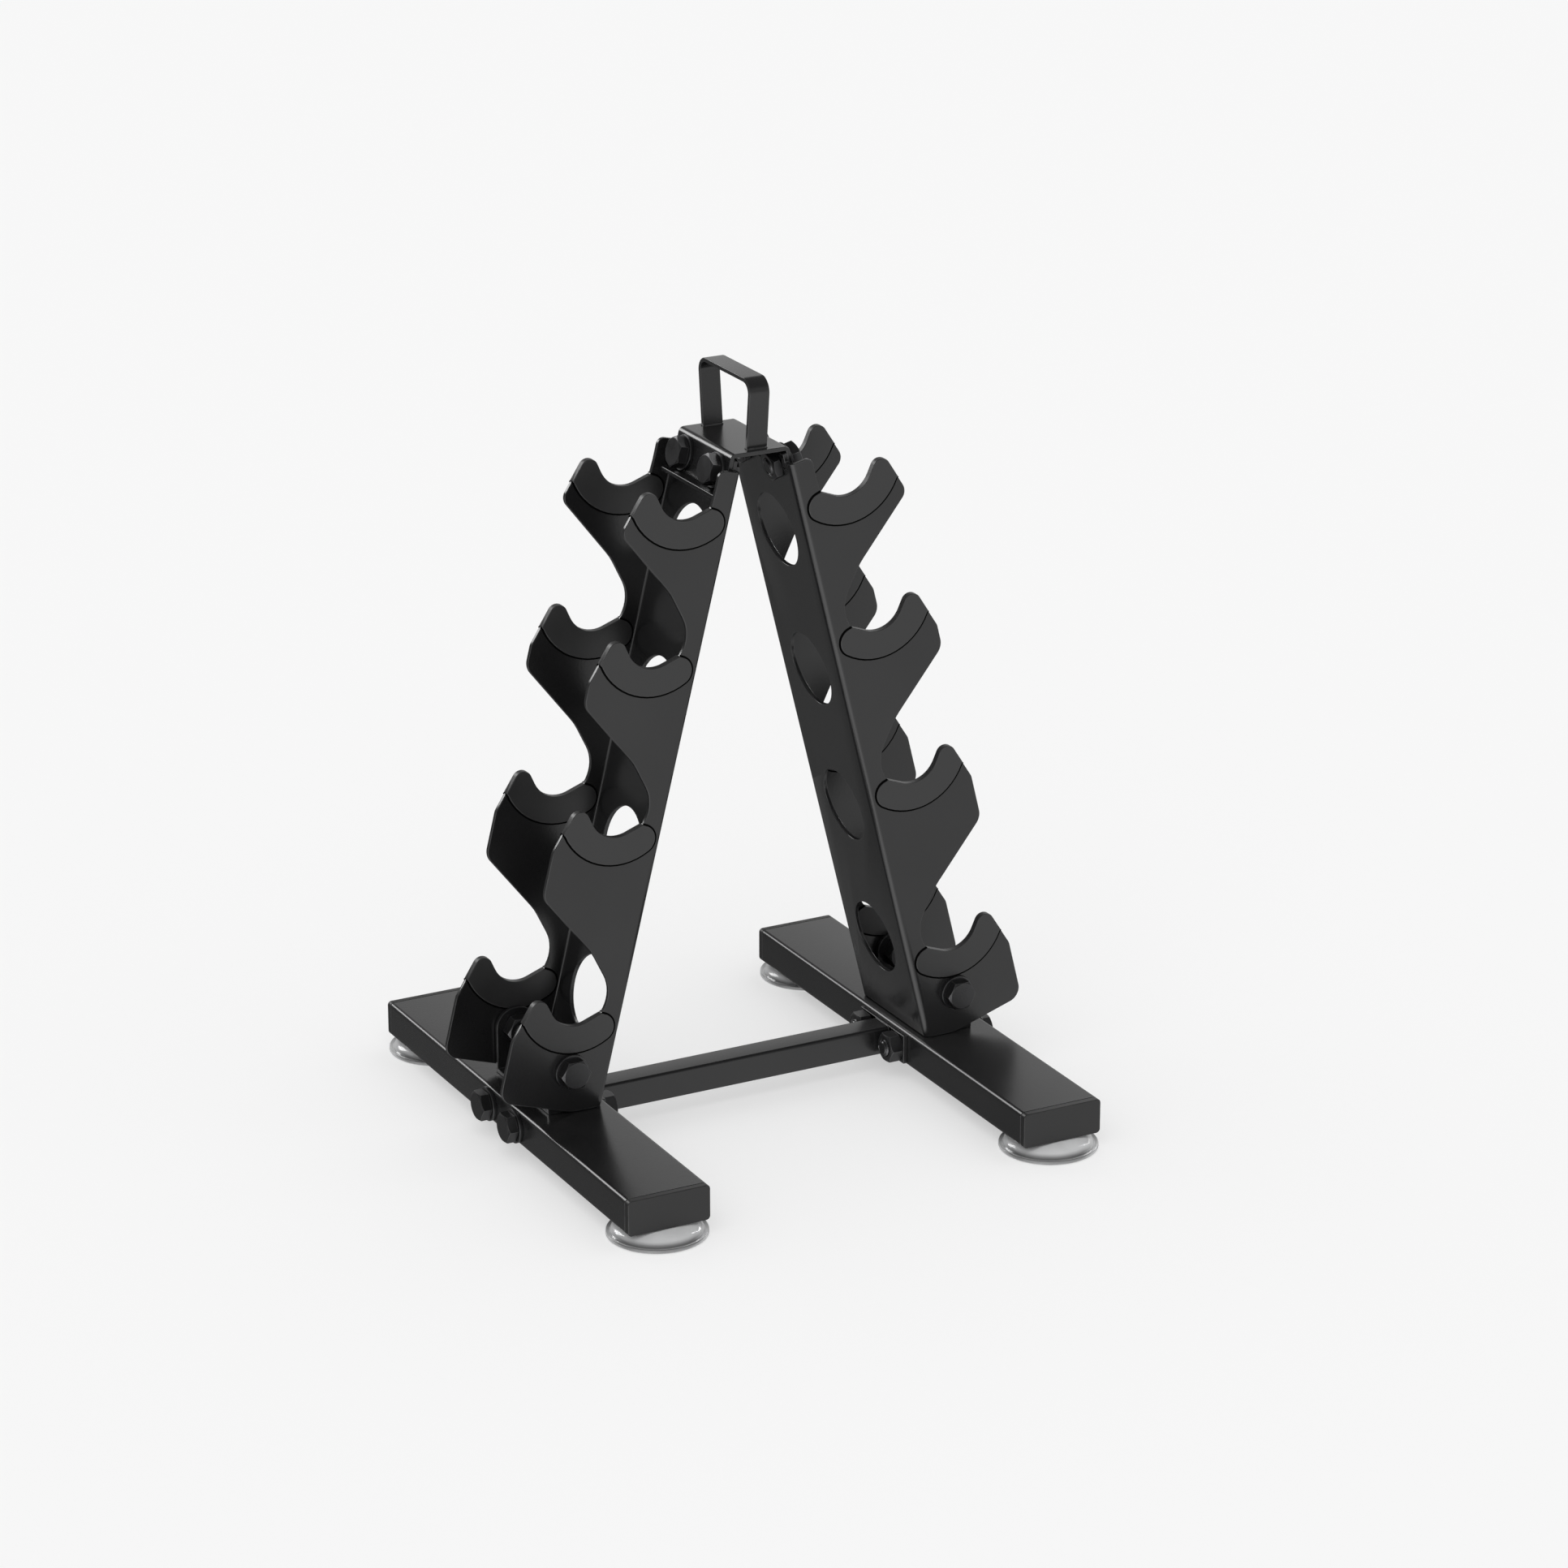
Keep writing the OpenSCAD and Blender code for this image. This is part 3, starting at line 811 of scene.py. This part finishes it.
class Recipe:
    """A geometry node tree with named inputs, run on a mesh of points or a path."""

    def __init__(self, name: str, inputs: dict[str, Any]) -> None:
        """Starts the tree.

        Args:
            name: The tree's name.
            inputs: The default of each size by name; "Template" and "Finish" take no default.
        """
        self.tree = bpy.data.node_groups.new(name, "GeometryNodeTree")
        self.wiring = Wiring(self.tree)
        face = self.tree.interface
        face.new_socket(name="Geometry", in_out="INPUT", socket_type="NodeSocketGeometry")
        face.new_socket(name="Geometry", in_out="OUTPUT", socket_type="NodeSocketGeometry")
        self.identifiers = {}
        kinds = {"Template": "NodeSocketObject", "Finish": "NodeSocketMaterial"}
        for label, value in inputs.items():
            number = "NodeSocketInt" if isinstance(value, int) else "NodeSocketFloat"
            socket = face.new_socket(name=label, in_out="INPUT", socket_type=kinds.get(label, number))
            if label not in kinds:
                socket.default_value = value
            self.identifiers[label] = socket.identifier
        self.given = self.wiring.add("NodeGroupInput").outputs
        self.out = self.wiring.add("NodeGroupOutput")

    def close(self, instances: bpy.types.NodeSocket) -> None:
        """Ends the tree: the instances become real and take the finish.

        Args:
            instances: The instances that the tree has made.
        """
        real = self.wiring.add("GeometryNodeRealizeInstances", {0: instances}).outputs[0]
        finish = {"Geometry": real, "Material": self.given["Finish"]}
        dressed = self.wiring.add("GeometryNodeSetMaterial", finish)
        self.tree.links.new(dressed.outputs[0], self.out.inputs[0])

    def on_seats(self, shape: bpy.types.NodeSocket) -> bpy.types.NodeSocket:
        """Sets a shape on every point of the mesh, turned as the point says.

        Args:
            shape: The shape's geometry.

        Returns:
            The instances.
        """
        w = self.wiring
        turn = w.add("GeometryNodeInputNamedAttribute", {"Name": "turn"}, data_type="FLOAT_VECTOR").outputs[0]
        way = w.add("FunctionNodeEulerToRotation", {0: turn}).outputs[0]
        placed = w.add(
            "GeometryNodeInstanceOnPoints",
            {"Points": self.given["Geometry"], "Instance": shape, "Rotation": way},
        )
        return placed.outputs[0]

    def run(self, name: str, seed: bpy.types.Mesh, values: dict[str, Any]) -> bpy.types.Object:
        """Runs the recipe once.

        Args:
            name: The new piece's name.
            seed: The points or path that it works on.
            values: The value of each input by name.

        Returns:
            A plain mesh object.
        """
        piece = new_piece(name + "_seed", seed)
        modifier = piece.modifiers.new("recipe", "NODES")
        modifier.node_group = self.tree
        for label, value in values.items():
            modifier[self.identifiers[label]] = value
        return plain(piece, name)


def bolt_recipe() -> Recipe:
    """Bolts: a template with a head and shank, and a thread wound round its end.

    Returns:
        The recipe.
    """
    made = Recipe(
        "bolt_row",
        {
            "Template": None,
            "Thread Diameter": 0.012,
            "Thread Pitch": 0.00175,
            "Thread Length": 0.014,
            "Finish": None,
        },
    )
    w, given = made.wiring, made.given
    pitch, length = given["Thread Pitch"], given["Thread Length"]
    depth = w.calc("MULTIPLY", pitch, 0.42)
    middle = w.calc("SUBTRACT", w.calc("MULTIPLY", given["Thread Diameter"], 0.5), depth)
    coil = w.add(
        "GeometryNodeCurveSpiral",
        {
            "Resolution": 24,
            "Rotations": w.calc("DIVIDE", length, pitch),
            "Start Radius": middle,
            "End Radius": middle,
            "Height": length,
        },
    )
    ridge = w.add("GeometryNodeCurvePrimitiveCircle", {"Resolution": 4, "Radius": depth})
    thread = w.add(
        "GeometryNodeCurveToMesh",
        {"Curve": coil.outputs[0], "Profile Curve": ridge.outputs[0], "Fill Caps": True},
    )
    lifted = w.add(
        "GeometryNodeTransform",
        {"Geometry": thread.outputs[0], "Translation": w.add("ShaderNodeCombineXYZ", {2: depth}).outputs[0]},
    )
    template = w.add("GeometryNodeObjectInfo", {"Object": given["Template"]}).outputs["Geometry"]
    both = w.add("GeometryNodeJoinGeometry")
    made.tree.links.new(lifted.outputs[0], both.inputs[0])
    made.tree.links.new(template, both.inputs[0])
    made.close(made.on_seats(both.outputs[0]))
    return made


def nut_recipe() -> Recipe:
    """Nuts: a template set on every seat.

    Returns:
        The recipe.
    """
    made = Recipe("nut_row", {"Template": None, "Finish": None})
    template = made.wiring.add("GeometryNodeObjectInfo", {"Object": made.given["Template"]})
    made.close(made.on_seats(template.outputs["Geometry"]))
    return made


def washer_recipe() -> Recipe:
    """Washers: a rounded strip swept round a circle.

    Returns:
        The recipe.
    """
    made = Recipe(
        "washer_row",
        {"Bore Radius": 0.0063, "Rim Radius": 0.012, "Thickness": 0.0025, "Edge": 0.0004, "Finish": None},
    )
    w, given = made.wiring, made.given
    wide = w.calc("SUBTRACT", given["Rim Radius"], given["Bore Radius"])
    middle = w.calc("MULTIPLY", w.calc("ADD", given["Rim Radius"], given["Bore Radius"]), 0.5)
    strip = w.add("GeometryNodeCurvePrimitiveQuadrilateral", {"Width": wide, "Height": given["Thickness"]})
    soft = w.add(
        "GeometryNodeFilletCurve",
        {"Curve": strip.outputs[0], "Count": 3, "Radius": given["Edge"]},
        mode="POLY",
    )
    circle = w.add("GeometryNodeCurvePrimitiveCircle", {"Resolution": 64, "Radius": middle})
    upright = w.add("GeometryNodeSetCurveNormal", {"Curve": circle.outputs[0]}, mode="Z_UP")
    swept = w.add("GeometryNodeCurveToMesh", {"Curve": upright.outputs[0], "Profile Curve": soft.outputs[0]})
    half = w.calc("MULTIPLY", given["Thickness"], 0.5)
    lifted = w.add(
        "GeometryNodeTransform",
        {"Geometry": swept.outputs[0], "Translation": w.add("ShaderNodeCombineXYZ", {2: half}).outputs[0]},
    )
    made.close(made.on_seats(lifted.outputs[0]))
    return made


def weld_recipe() -> Recipe:
    """Weld beads: overlapping ripples laid along a path.

    Returns:
        The recipe.
    """
    made = Recipe(
        "weld_bead",
        {"Bead Radius": 0.0015, "Ripple Pitch": 0.0011, "Seed": 3, "Finish": None},
    )
    w, given = made.wiring, made.given
    path = w.add("GeometryNodeMeshToCurve", {0: given["Geometry"]}).outputs[0]
    steps = w.add(
        "GeometryNodeResampleCurve",
        {"Curve": path, "Length": given["Ripple Pitch"]},
        mode="LENGTH",
    )
    drop = w.add("GeometryNodeMeshIcoSphere", {"Radius": given["Bead Radius"], "Subdivisions": 2})
    size = w.add("FunctionNodeRandomValue", {"Seed": given["Seed"]}, data_type="FLOAT_VECTOR")
    size.inputs[0].default_value = (0.86, 0.86, 0.8)
    size.inputs[1].default_value = (1.1, 1.1, 1.0)
    beads = w.add(
        "GeometryNodeInstanceOnPoints",
        {"Points": steps.outputs[0], "Instance": drop.outputs[0], "Scale": size.outputs[0]},
    )
    made.close(beads.outputs[0])
    return made


def shadow_line_recipe() -> Recipe:
    """Painted shadow lines: a thin bead swept along a path.

    Returns:
        The recipe.
    """
    made = Recipe("seam_bead", {"Bead Radius": 0.0004, "Finish": None})
    w, given = made.wiring, made.given
    path = w.add("GeometryNodeMeshToCurve", {0: given["Geometry"]}).outputs[0]
    profile = w.add("GeometryNodeCurvePrimitiveCircle", {"Resolution": 6, "Radius": given["Bead Radius"]})
    swept = w.add(
        "GeometryNodeCurveToMesh",
        {"Curve": path, "Profile Curve": profile.outputs[0], "Fill Caps": True},
    )
    made.close(swept.outputs[0])
    return made


# ---------- sub-assemblies ----------


@dataclass
class SheetMetal:
    """The bent and welded steel: uprights, saddle, handle, clevises, tubes and crossbar."""

    palette: Palette
    sheet_edge: float = 0.5 * MM
    tube_edge: float = 0.4 * MM
    bead_radius: float = 1.3 * MM
    ripple_pitch: float = 1.0 * MM
    welds: Recipe = field(default_factory=weld_recipe)

    def build(self) -> None:
        """Builds every steel piece and its welds."""
        for side in Side:
            self.formed(f"upright_{side.value}", self.sheet_edge)
            self.formed(f"clevis_{side.value}", self.sheet_edge)
            self.formed(f"base_tube_{side.value}", self.tube_edge)
        self.formed("crossbar", self.sheet_edge)
        self.formed("saddle", self.sheet_edge)
        self.formed("handle", self.sheet_edge)
        self.weld("handle_welds", self.handle_paths(), seed=5)
        self.weld("crossbar_welds", self.crossbar_paths(), seed=11)

    def formed(self, node: str, edge: float) -> None:
        """Dresses one steel node with softened edges."""
        self.palette.dress(softened_copy(node, f"{node}_coated", edge), Look.POWDER_COAT, node)

    def handle_paths(self) -> list[list[Vector]]:
        """Finds where the handle's legs are welded, along both faces of each.

        Returns:
            The ends of each line.
        """
        low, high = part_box("handle")
        legs = [v.co.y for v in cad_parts["handle"].data.vertices if v.co.z < low.z + 1e-5]
        faces = sorted({round(y, 5) for y in legs})
        margin = 1.0 * MM
        return [
            [Vector((low.x + margin, y, low.z)), Vector((high.x - margin, y, low.z))]
            for y in faces
        ]

    def crossbar_paths(self) -> list[list[Vector]]:
        """Finds where the crossbar is welded, all round each end.

        Returns:
            The corners of each square.
        """
        low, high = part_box("crossbar")
        points = [v.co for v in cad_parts["crossbar"].data.vertices]
        ends = sorted({round(abs(p.x), 5) for p in points if abs(p.y) > 0.02})
        bar = max(abs(p.z - (low.z + high.z) / 2) for p in points if abs(p.x) < ends[0] - 1e-4)
        middle = (low.z + high.z) / 2
        square = [(-bar, -bar), (bar, -bar), (bar, bar), (-bar, bar), (-bar, -bar)]
        return [[Vector((way * ends[0], y, middle + z)) for y, z in square] for way in (-1, 1)]

    def weld(self, name: str, paths: list[list[Vector]], seed: int) -> None:
        """Lays a bead of weld along each path.

        Args:
            name: The new piece's name.
            paths: The corner points of each path.
            seed: Seed of the ripples' sizes.
        """
        values = {
            "Bead Radius": self.bead_radius,
            "Ripple Pitch": self.ripple_pitch,
            "Seed": seed,
            "Finish": self.palette.materials[Look.POWDER_COAT],
        }
        piece = self.welds.run(name, path_mesh(name, paths), values)
        piece.data.shade_smooth()
        self.palette.dress(piece, Look.POWDER_COAT)


@dataclass
class Mouldings:
    """The plastic pieces pushed on to the steel: cradle liners and tube caps."""

    palette: Palette
    liner_edge: float = 0.5 * MM
    cap_edge: float = 0.7 * MM
    shadow_line_radius: float = 0.85 * MM
    shadow_line_shift: float = 0.35 * MM
    shadow_line_offset: float = 0.8 * MM
    tiers: int = 4
    shadow_lines: Recipe = field(default_factory=shadow_line_recipe)

    def build(self) -> None:
        """Builds every liner and cap."""
        for side in Side:
            plate = self.plate(f"upright_{side.value}")
            for end in End:
                for tier in range(1, self.tiers + 1):
                    self.liner(f"liner_{side.value}_{end.value}_{tier}", plate)
                node = f"end_cap_{side.value}_{end.value}"
                cap = softened_copy(node, f"{node}_moulded", self.cap_edge)
                self.palette.dress(cap, Look.CAP_PLASTIC, node)

    def plate(self, node: str) -> BVHTree:
        """An upright's surface, ready to be probed."""
        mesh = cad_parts[node].data
        return BVHTree.FromPolygons([v.co for v in mesh.vertices], [tuple(p.vertices) for p in mesh.polygons])

    def liner(self, node: str, plate: BVHTree) -> None:
        """Builds one liner, and a painted shadow line on the plate where its edge lies.

        Args:
            node: The liner's CAD node.
            plate: The upright's surface.
        """
        moulding = softened_copy(node, f"{node}_moulded", self.liner_edge)
        self.palette.dress(moulding, Look.LINER_PLASTIC, node)
        values = {"Bead Radius": self.shadow_line_radius, "Finish": self.palette.materials[Look.LINER_SEAM]}
        # seam: a near-black bead that paints the shadow along the liner's edge
        seam = self.shadow_lines.run(f"{node}_seam", path_mesh(node, self.shadow_line_paths(node, plate)), values)
        seam.data.shade_smooth()
        self.palette.dress(seam, Look.LINER_SEAM)

    def shadow_line_paths(self, node: str, plate: BVHTree) -> list[list[Vector]]:
        """Lines on the plate along the edges of a liner's two faces, for its painted shadow line.

        Args:
            node: The liner's CAD node.
            plate: The upright's surface.

        Returns:
            The corner points of each line.
        """
        bm = flat_faced(node)
        paths = []
        for face in bm.faces:
            if abs(face.normal.y) < 0.999 or face.calc_area() < 100 * MM * MM:
                continue
            corners = [v.co.copy() for v in face.verts]
            path: list[Vector] = []
            for start, stop in zip(corners, corners[1:] + corners[:2]):
                outward = (stop - start).cross(face.normal).normalized()
                probe = (start + stop) / 2 + outward * self.shadow_line_offset + face.normal * self.shadow_line_offset
                hit, _, _, depth = plate.ray_cast(probe, -face.normal, 4 * MM)
                if hit is None or depth < 1.5 * self.shadow_line_offset:
                    paths.append(path)
                    path = []
                    continue
                shift = outward * self.shadow_line_shift
                path = path or [Vector((start.x, hit.y, start.z)) + shift]
                path.append(Vector((stop.x, hit.y, stop.z)) + shift)
            paths.append(path)
        bm.free()
        return [path for path in paths if path]


@dataclass
class Fasteners:
    """The bolts, washers, nuts and spacer rings."""

    palette: Palette
    pitch: float = 1.75 * MM
    thread_length: float = 14 * MM
    tip: float = 1.0 * MM
    under_head: float = 0.4 * MM
    chamfer: float = math.radians(30)
    steps: int = 72
    bolts: Recipe = field(default_factory=bolt_recipe)
    nuts: Recipe = field(default_factory=nut_recipe)
    washers: Recipe = field(default_factory=washer_recipe)

    def build(self) -> None:
        """Builds every fastener of the three bolted joints."""
        for joint in ("crossbar", "upright", "saddle"):
            self.bolt_row(f"{joint}_bolts")
            self.washer_row(f"{joint}_washers", Look.BLACK_OXIDE)
            self.nut_row(f"{joint}_nuts")
        self.washer_row("upright_spacers", Look.LINER_PLASTIC)

    def hex_reach(self, corner: float) -> np.ndarray:
        """Distance from the axis to a hexagon's side, all the way round."""
        turn = np.arange(self.steps) * 2 * math.pi / self.steps
        return corner * math.cos(math.pi / 6) / np.cos((turn % (math.pi / 3)) - math.pi / 6)

    def bolt_template(self, seat: Seat) -> bpy.types.Object:
        """A hex bolt that stands on the end of its shank, with its head up.

        Args:
            seat: The bolt's sizes.

        Returns:
            An object that is used only as a template.
        """
        n = self.steps
        shank = seat.bore
        root = shank - 0.8 * self.pitch * 0.84
        side = self.hex_reach(seat.radius)
        flat = seat.radius * math.cos(math.pi / 6)
        face = flat * 0.95
        under = seat.length - seat.head
        fall = (side - face) * math.tan(self.chamfer)
        rings = [
            ring(root - self.tip * 0.6, 0.0, n),
            ring(root, self.tip * 0.6, n),
            ring(root, self.thread_length, n),
            ring(shank, self.thread_length + self.tip, n),
            ring(shank, under, n),
            ring(face, under, n),
            ring(face, under + self.under_head, n),
            ring(side, under + self.under_head, n),
            ring(side, seat.length - fall, n),
            ring(face, seat.length, n),
            ring(face * 0.5, seat.length, n),
        ]
        return new_piece("bolt_template", skin("bolt_template", rings))

    def nut_template(self, seat: Seat) -> bpy.types.Object:
        """A hex nut with chamfered corners and a countersunk bore.

        Args:
            seat: The nut's sizes.

        Returns:
            An object that is used only as a template.
        """
        n = self.steps
        side = self.hex_reach(seat.radius)
        face = seat.radius * math.cos(math.pi / 6) * 0.95
        fall = (side - face) * math.tan(self.chamfer)
        sink = 0.6 * MM
        rings = [
            ring(seat.bore + sink, 0.0, n),
            ring(face, 0.0, n),
            ring(side, fall, n),
            ring(side, seat.length - fall, n),
            ring(face, seat.length, n),
            ring(seat.bore + sink, seat.length, n),
            ring(seat.bore, seat.length - sink, n),
            ring(seat.bore, sink, n),
        ]
        return new_piece("nut_template", skin("nut_template", rings, looped=True))

    def row(self, node: str, recipe: Recipe, template: bpy.types.Object, sizes: dict[str, Any]) -> None:
        """Sets a template on every seat of one joint, then removes the template.

        Args:
            node: The CAD node that the row stands for.
            recipe: The recipe that builds it.
            template: The bolt or nut to repeat.
            sizes: The recipe's sizes by name.
        """
        values = {"Template": template, **sizes, "Finish": self.palette.materials[Look.BLACK_OXIDE]}
        kind = AxisKind.LONG if recipe is self.bolts else AxisKind.SHORT
        piece = recipe.run(f"{node}_turned", seat_points(node, seats(node, kind)), values)
        mesh = template.data
        bpy.data.objects.remove(template)
        bpy.data.meshes.remove(mesh)
        shade_by_angle(piece.data, 28.0)
        self.palette.dress(piece, Look.BLACK_OXIDE, node)

    def bolt_row(self, node: str) -> None:
        """Builds the bolts of one joint.

        Args:
            node: The CAD node that they stand for.
        """
        seat = seats(node, AxisKind.LONG)[0]
        sizes = {
            "Thread Diameter": 2 * seat.bore,
            "Thread Pitch": self.pitch,
            "Thread Length": self.thread_length - self.pitch,
        }
        self.row(node, self.bolts, self.bolt_template(seat), sizes)

    def nut_row(self, node: str) -> None:
        """Builds the nuts of one joint."""
        self.row(node, self.nuts, self.nut_template(seats(node, AxisKind.SHORT)[0]), {})

    def washer_row(self, node: str, look: Look) -> None:
        """Builds the washers or rings of one joint.

        Args:
            node: The CAD node that they stand for.
            look: The finish that they take.
        """
        places = seats(node, AxisKind.SHORT)
        values = {
            "Bore Radius": places[0].bore,
            "Rim Radius": places[0].radius,
            "Thickness": places[0].length,
            "Edge": 0.35 * MM,
            "Finish": self.palette.materials[look],
        }
        piece = self.washers.run(f"{node}_pressed", seat_points(node, places), values)
        shade_by_angle(piece.data, 50.0)
        self.palette.dress(piece, look, node)


@dataclass
class Feet:
    """The four clear feet and the studs that hold them."""

    palette: Palette
    lip: float = 3.0 * MM
    lip_round: float = 1.0 * MM
    groove: float = 0.7 * MM
    boss_radius: float = 12 * MM
    hollow_depth: float = 2.0 * MM
    steps: int = 96
    pitch: float = 1.0 * MM

    def build(self) -> None:
        """Builds the feet and the studs."""
        for side in Side:
            for end in End:
                node = f"foot_{side.value}_{end.value}"
                self.palette.dress(self.foot(node), Look.CLEAR_VINYL, node)
        stud = softened_copy("foot_studs", "foot_studs_plated", 0.3 * MM)
        self.palette.dress(stud, Look.ZINC, "foot_studs")

    def profile(self, rim: float, height: float) -> list[tuple[float, float]]:
        """Lays out a foot's rings, from the hollow underneath to the top.

        Args:
            rim: The foot's radius.
            height: The foot's height.

        Returns:
            Each ring's radius and height.
        """
        lip, soft, groove = self.lip, self.lip_round, self.groove
        start = rim - 2.4 * MM
        hollow = [
            (rim * 0.5, self.hollow_depth),
            (rim * 0.72, self.hollow_depth * 0.7),
            (rim * 0.86, 0.4 * MM),
        ]
        corner = [
            (rim - soft + soft * math.sin(a), soft - soft * math.cos(a))
            for a in np.linspace(0, math.pi / 2, 5)
        ]
        upper = [
            (rim - soft * 0.6 + soft * 0.6 * math.cos(a), lip - soft * 0.6 + soft * 0.6 * math.sin(a))
            for a in np.linspace(0, math.pi / 2, 5)
        ]
        seam = [(rim - 1.5 * MM, lip - groove * 0.4), (start, lip - groove), (start - groove, lip)]
        span = start - groove - self.boss_radius
        dome = [
            (self.boss_radius + span * math.cos(a), lip + (height - lip) * math.sin(a))
            for a in np.linspace(0.06, math.pi / 2, 14)
        ]
        return [*hollow, (rim * 0.9, 0.0), *corner, *upper, *seam, *dome, (self.boss_radius * 0.5, height)]

    def foot(self, node: str) -> bpy.types.Object:
        """Turns one foot on the axis of its CAD node.

        Args:
            node: The foot's CAD node.

        Returns:
            The foot.
        """
        low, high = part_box(node)
        centre = (low + high) / 2
        rim = (high.x - low.x) / 2
        shape = self.profile(rim, high.z - low.z)
        mesh = skin(f"{node}_clear", [ring(r, z, self.steps) for r, z in shape])
        mesh.transform(Matrix.Translation((centre.x, centre.y, low.z)))
        return new_piece(f"{node}_clear", mesh)


# ---------- studio ----------


@dataclass
class Studio:
    """The floor, the light and the camera."""

    floor_half: float = 40.0
    floor_colour: Colour = (0.45, 0.45, 0.45)
    floor_glow: float = 0.485
    sky: float = 0.82
    zenith: float = 0.10
    zenith_edge: tuple[float, float] = (0.40, 0.58)
    wall_edge: tuple[float, float] = (-0.3, 0.3)
    back_edge: tuple[float, float] = (-0.25, 0.3)
    low_edge: tuple[float, float] = (0.6, -0.9)
    gap_edge: tuple[float, float] = (-0.78, -0.56)
    strip_across: tuple[float, float] = (-0.15, -0.6)
    strip_along: tuple[float, float] = (0.1, -0.2)
    horizon: tuple[float, float] = (-0.12, 0.06)
    high_front: float = 0.45
    high_back: float = 0.80
    back_left: float = 0.20
    low_front: float = 1.0
    low_back: float = 0.18
    low_side: float = 1.6
    key: float = 0.70
    glint: float = 26.0
    camera_at: tuple[float, float, float] = (-1.511, -2.9184, 1.4365)
    aim: tuple[float, float, float] = (0.0293, -0.0156, 0.2303)
    lens: float = 118.31

    def build(self) -> None:
        """Builds the studio round the rack."""
        self.floor()
        self.world()
        self.lights()
        self.camera()

    def floor(self) -> None:
        """Lays the plain floor just under the feet: a pale sheet, lit a little from below."""
        half = self.floor_half
        mesh = bpy.data.meshes.new("floor")
        corners = [(-half, -half), (half, -half), (half, half), (-half, half)]
        mesh.from_pydata([(x, y, -0.0004) for x, y in corners], [], [(0, 1, 2, 3)])
        floor = new_piece("floor", mesh)
        paint = bpy.data.materials.new("floor_paint")
        paint.use_nodes = True
        shader = paint.node_tree.nodes["Principled BSDF"]
        shader.inputs["Base Color"].default_value = (*self.floor_colour, 1.0)
        shader.inputs["Roughness"].default_value = 0.9
        shader.inputs["Specular IOR Level"].default_value = 0.0
        shader.inputs["Emission Color"].default_value = (1.0, 1.0, 1.0, 1.0)
        shader.inputs["Emission Strength"].default_value = self.floor_glow
        mesh.materials.append(paint)
        floor.visible_glossy = False

    def world(self) -> None:
        """Surrounds the rack with even light, and with panels that only its gloss mirrors."""
        world = bpy.data.worlds.new("studio")
        world.use_nodes = True
        w = Wiring(world.node_tree)
        way = w.add("ShaderNodeSeparateXYZ", {0: w.add("ShaderNodeTexCoord").outputs["Generated"]}).outputs
        gap = w.span(way[0], *self.gap_edge)
        low = w.calc("MULTIPLY", w.span(way[1], *self.low_edge, self.low_back, self.low_front), gap)
        strip = w.calc("MULTIPLY", w.span(way[0], *self.strip_across), w.span(way[1], *self.strip_along))
        side = w.calc("MULTIPLY", strip, self.low_side)
        back = w.span(way[0], *self.back_edge, self.back_left, self.high_back)
        wall = w.span(way[1], *self.wall_edge, self.high_front, back)
        high = w.span(way[2], *self.zenith_edge, wall, self.zenith)
        share = w.span(way[2], *self.horizon)
        below = w.calc("MULTIPLY", w.calc("ADD", low, side), w.calc("SUBTRACT", 1.0, share))
        panels = w.calc("MULTIPLY_ADD", high, share, below)
        gloss = w.add("ShaderNodeLightPath").outputs["Is Glossy Ray"]
        light = w.span(gloss, 0.0, 1.0, self.sky, panels)
        sky = world.node_tree.nodes["Background"]
        sky.inputs["Color"].default_value = (1.0, 1.0, 1.0, 1.0)
        w.tree.links.new(light, sky.inputs["Strength"])
        bpy.context.scene.world = world
        bpy.context.scene.view_settings.view_transform = "Standard"

    def lights(self) -> None:
        """Hangs a broad key light at the front left, and two softboxes behind for the edges."""
        key = bpy.data.lights.new("key", "SUN")
        key.energy = self.key
        key.angle = math.radians(60)
        self.aimed(key, Vector((-1.2, -1.6, 2.6)), Vector((0, 0, 0))).visible_glossy = False
        places = {"softbox_left": (-1.1, 2.2, 1.5), "softbox_right": (2.3, 1.0, 1.6)}
        for name, place in places.items():
            box = bpy.data.lights.new(name, "AREA")
            box.shape = "RECTANGLE"
            box.size, box.size_y = 0.9, 1.3
            box.energy = self.glint
            light = self.aimed(box, Vector(place), Vector((0, 0, 0.25)))
            light.visible_diffuse = False
            light.visible_camera = False
            light.visible_transmission = False

    def aimed(self, data: bpy.types.Light, place: Vector, target: Vector) -> bpy.types.Object:
        """Hangs a light and turns it to its target.

        Args:
            data: The light.
            place: Where it hangs.
            target: The point that it faces.

        Returns:
            The light's object.
        """
        light = bpy.data.objects.new(data.name, data)
        bpy.context.scene.collection.objects.link(light)
        light.location = place
        light.rotation_mode = "QUATERNION"
        light.rotation_quaternion = (target - place).to_track_quat("-Z", "Y")
        return light

    def camera(self) -> None:
        """Stands the camera at the front left, a little above the rack."""
        data = bpy.data.cameras.new("camera")
        data.lens = self.lens
        data.sensor_width = 36.0
        camera = bpy.data.objects.new("camera", data)
        bpy.context.scene.collection.objects.link(camera)
        camera.location = self.camera_at
        camera.rotation_mode = "QUATERNION"
        camera.rotation_quaternion = (Vector(self.aim) - Vector(self.camera_at)).to_track_quat("-Z", "Y")
        bpy.context.scene.camera = camera


def main() -> None:
    """Builds the rack and the studio in order."""
    logging.basicConfig(level=logging.INFO, format="%(name)s: %(message)s")
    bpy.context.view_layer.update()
    palette = Palette()
    for assembly in (SheetMetal(palette), Mouldings(palette), Fasteners(palette), Feet(palette)):
        assembly.build()
    Studio().build()


if __name__ == "__main__":
    main()
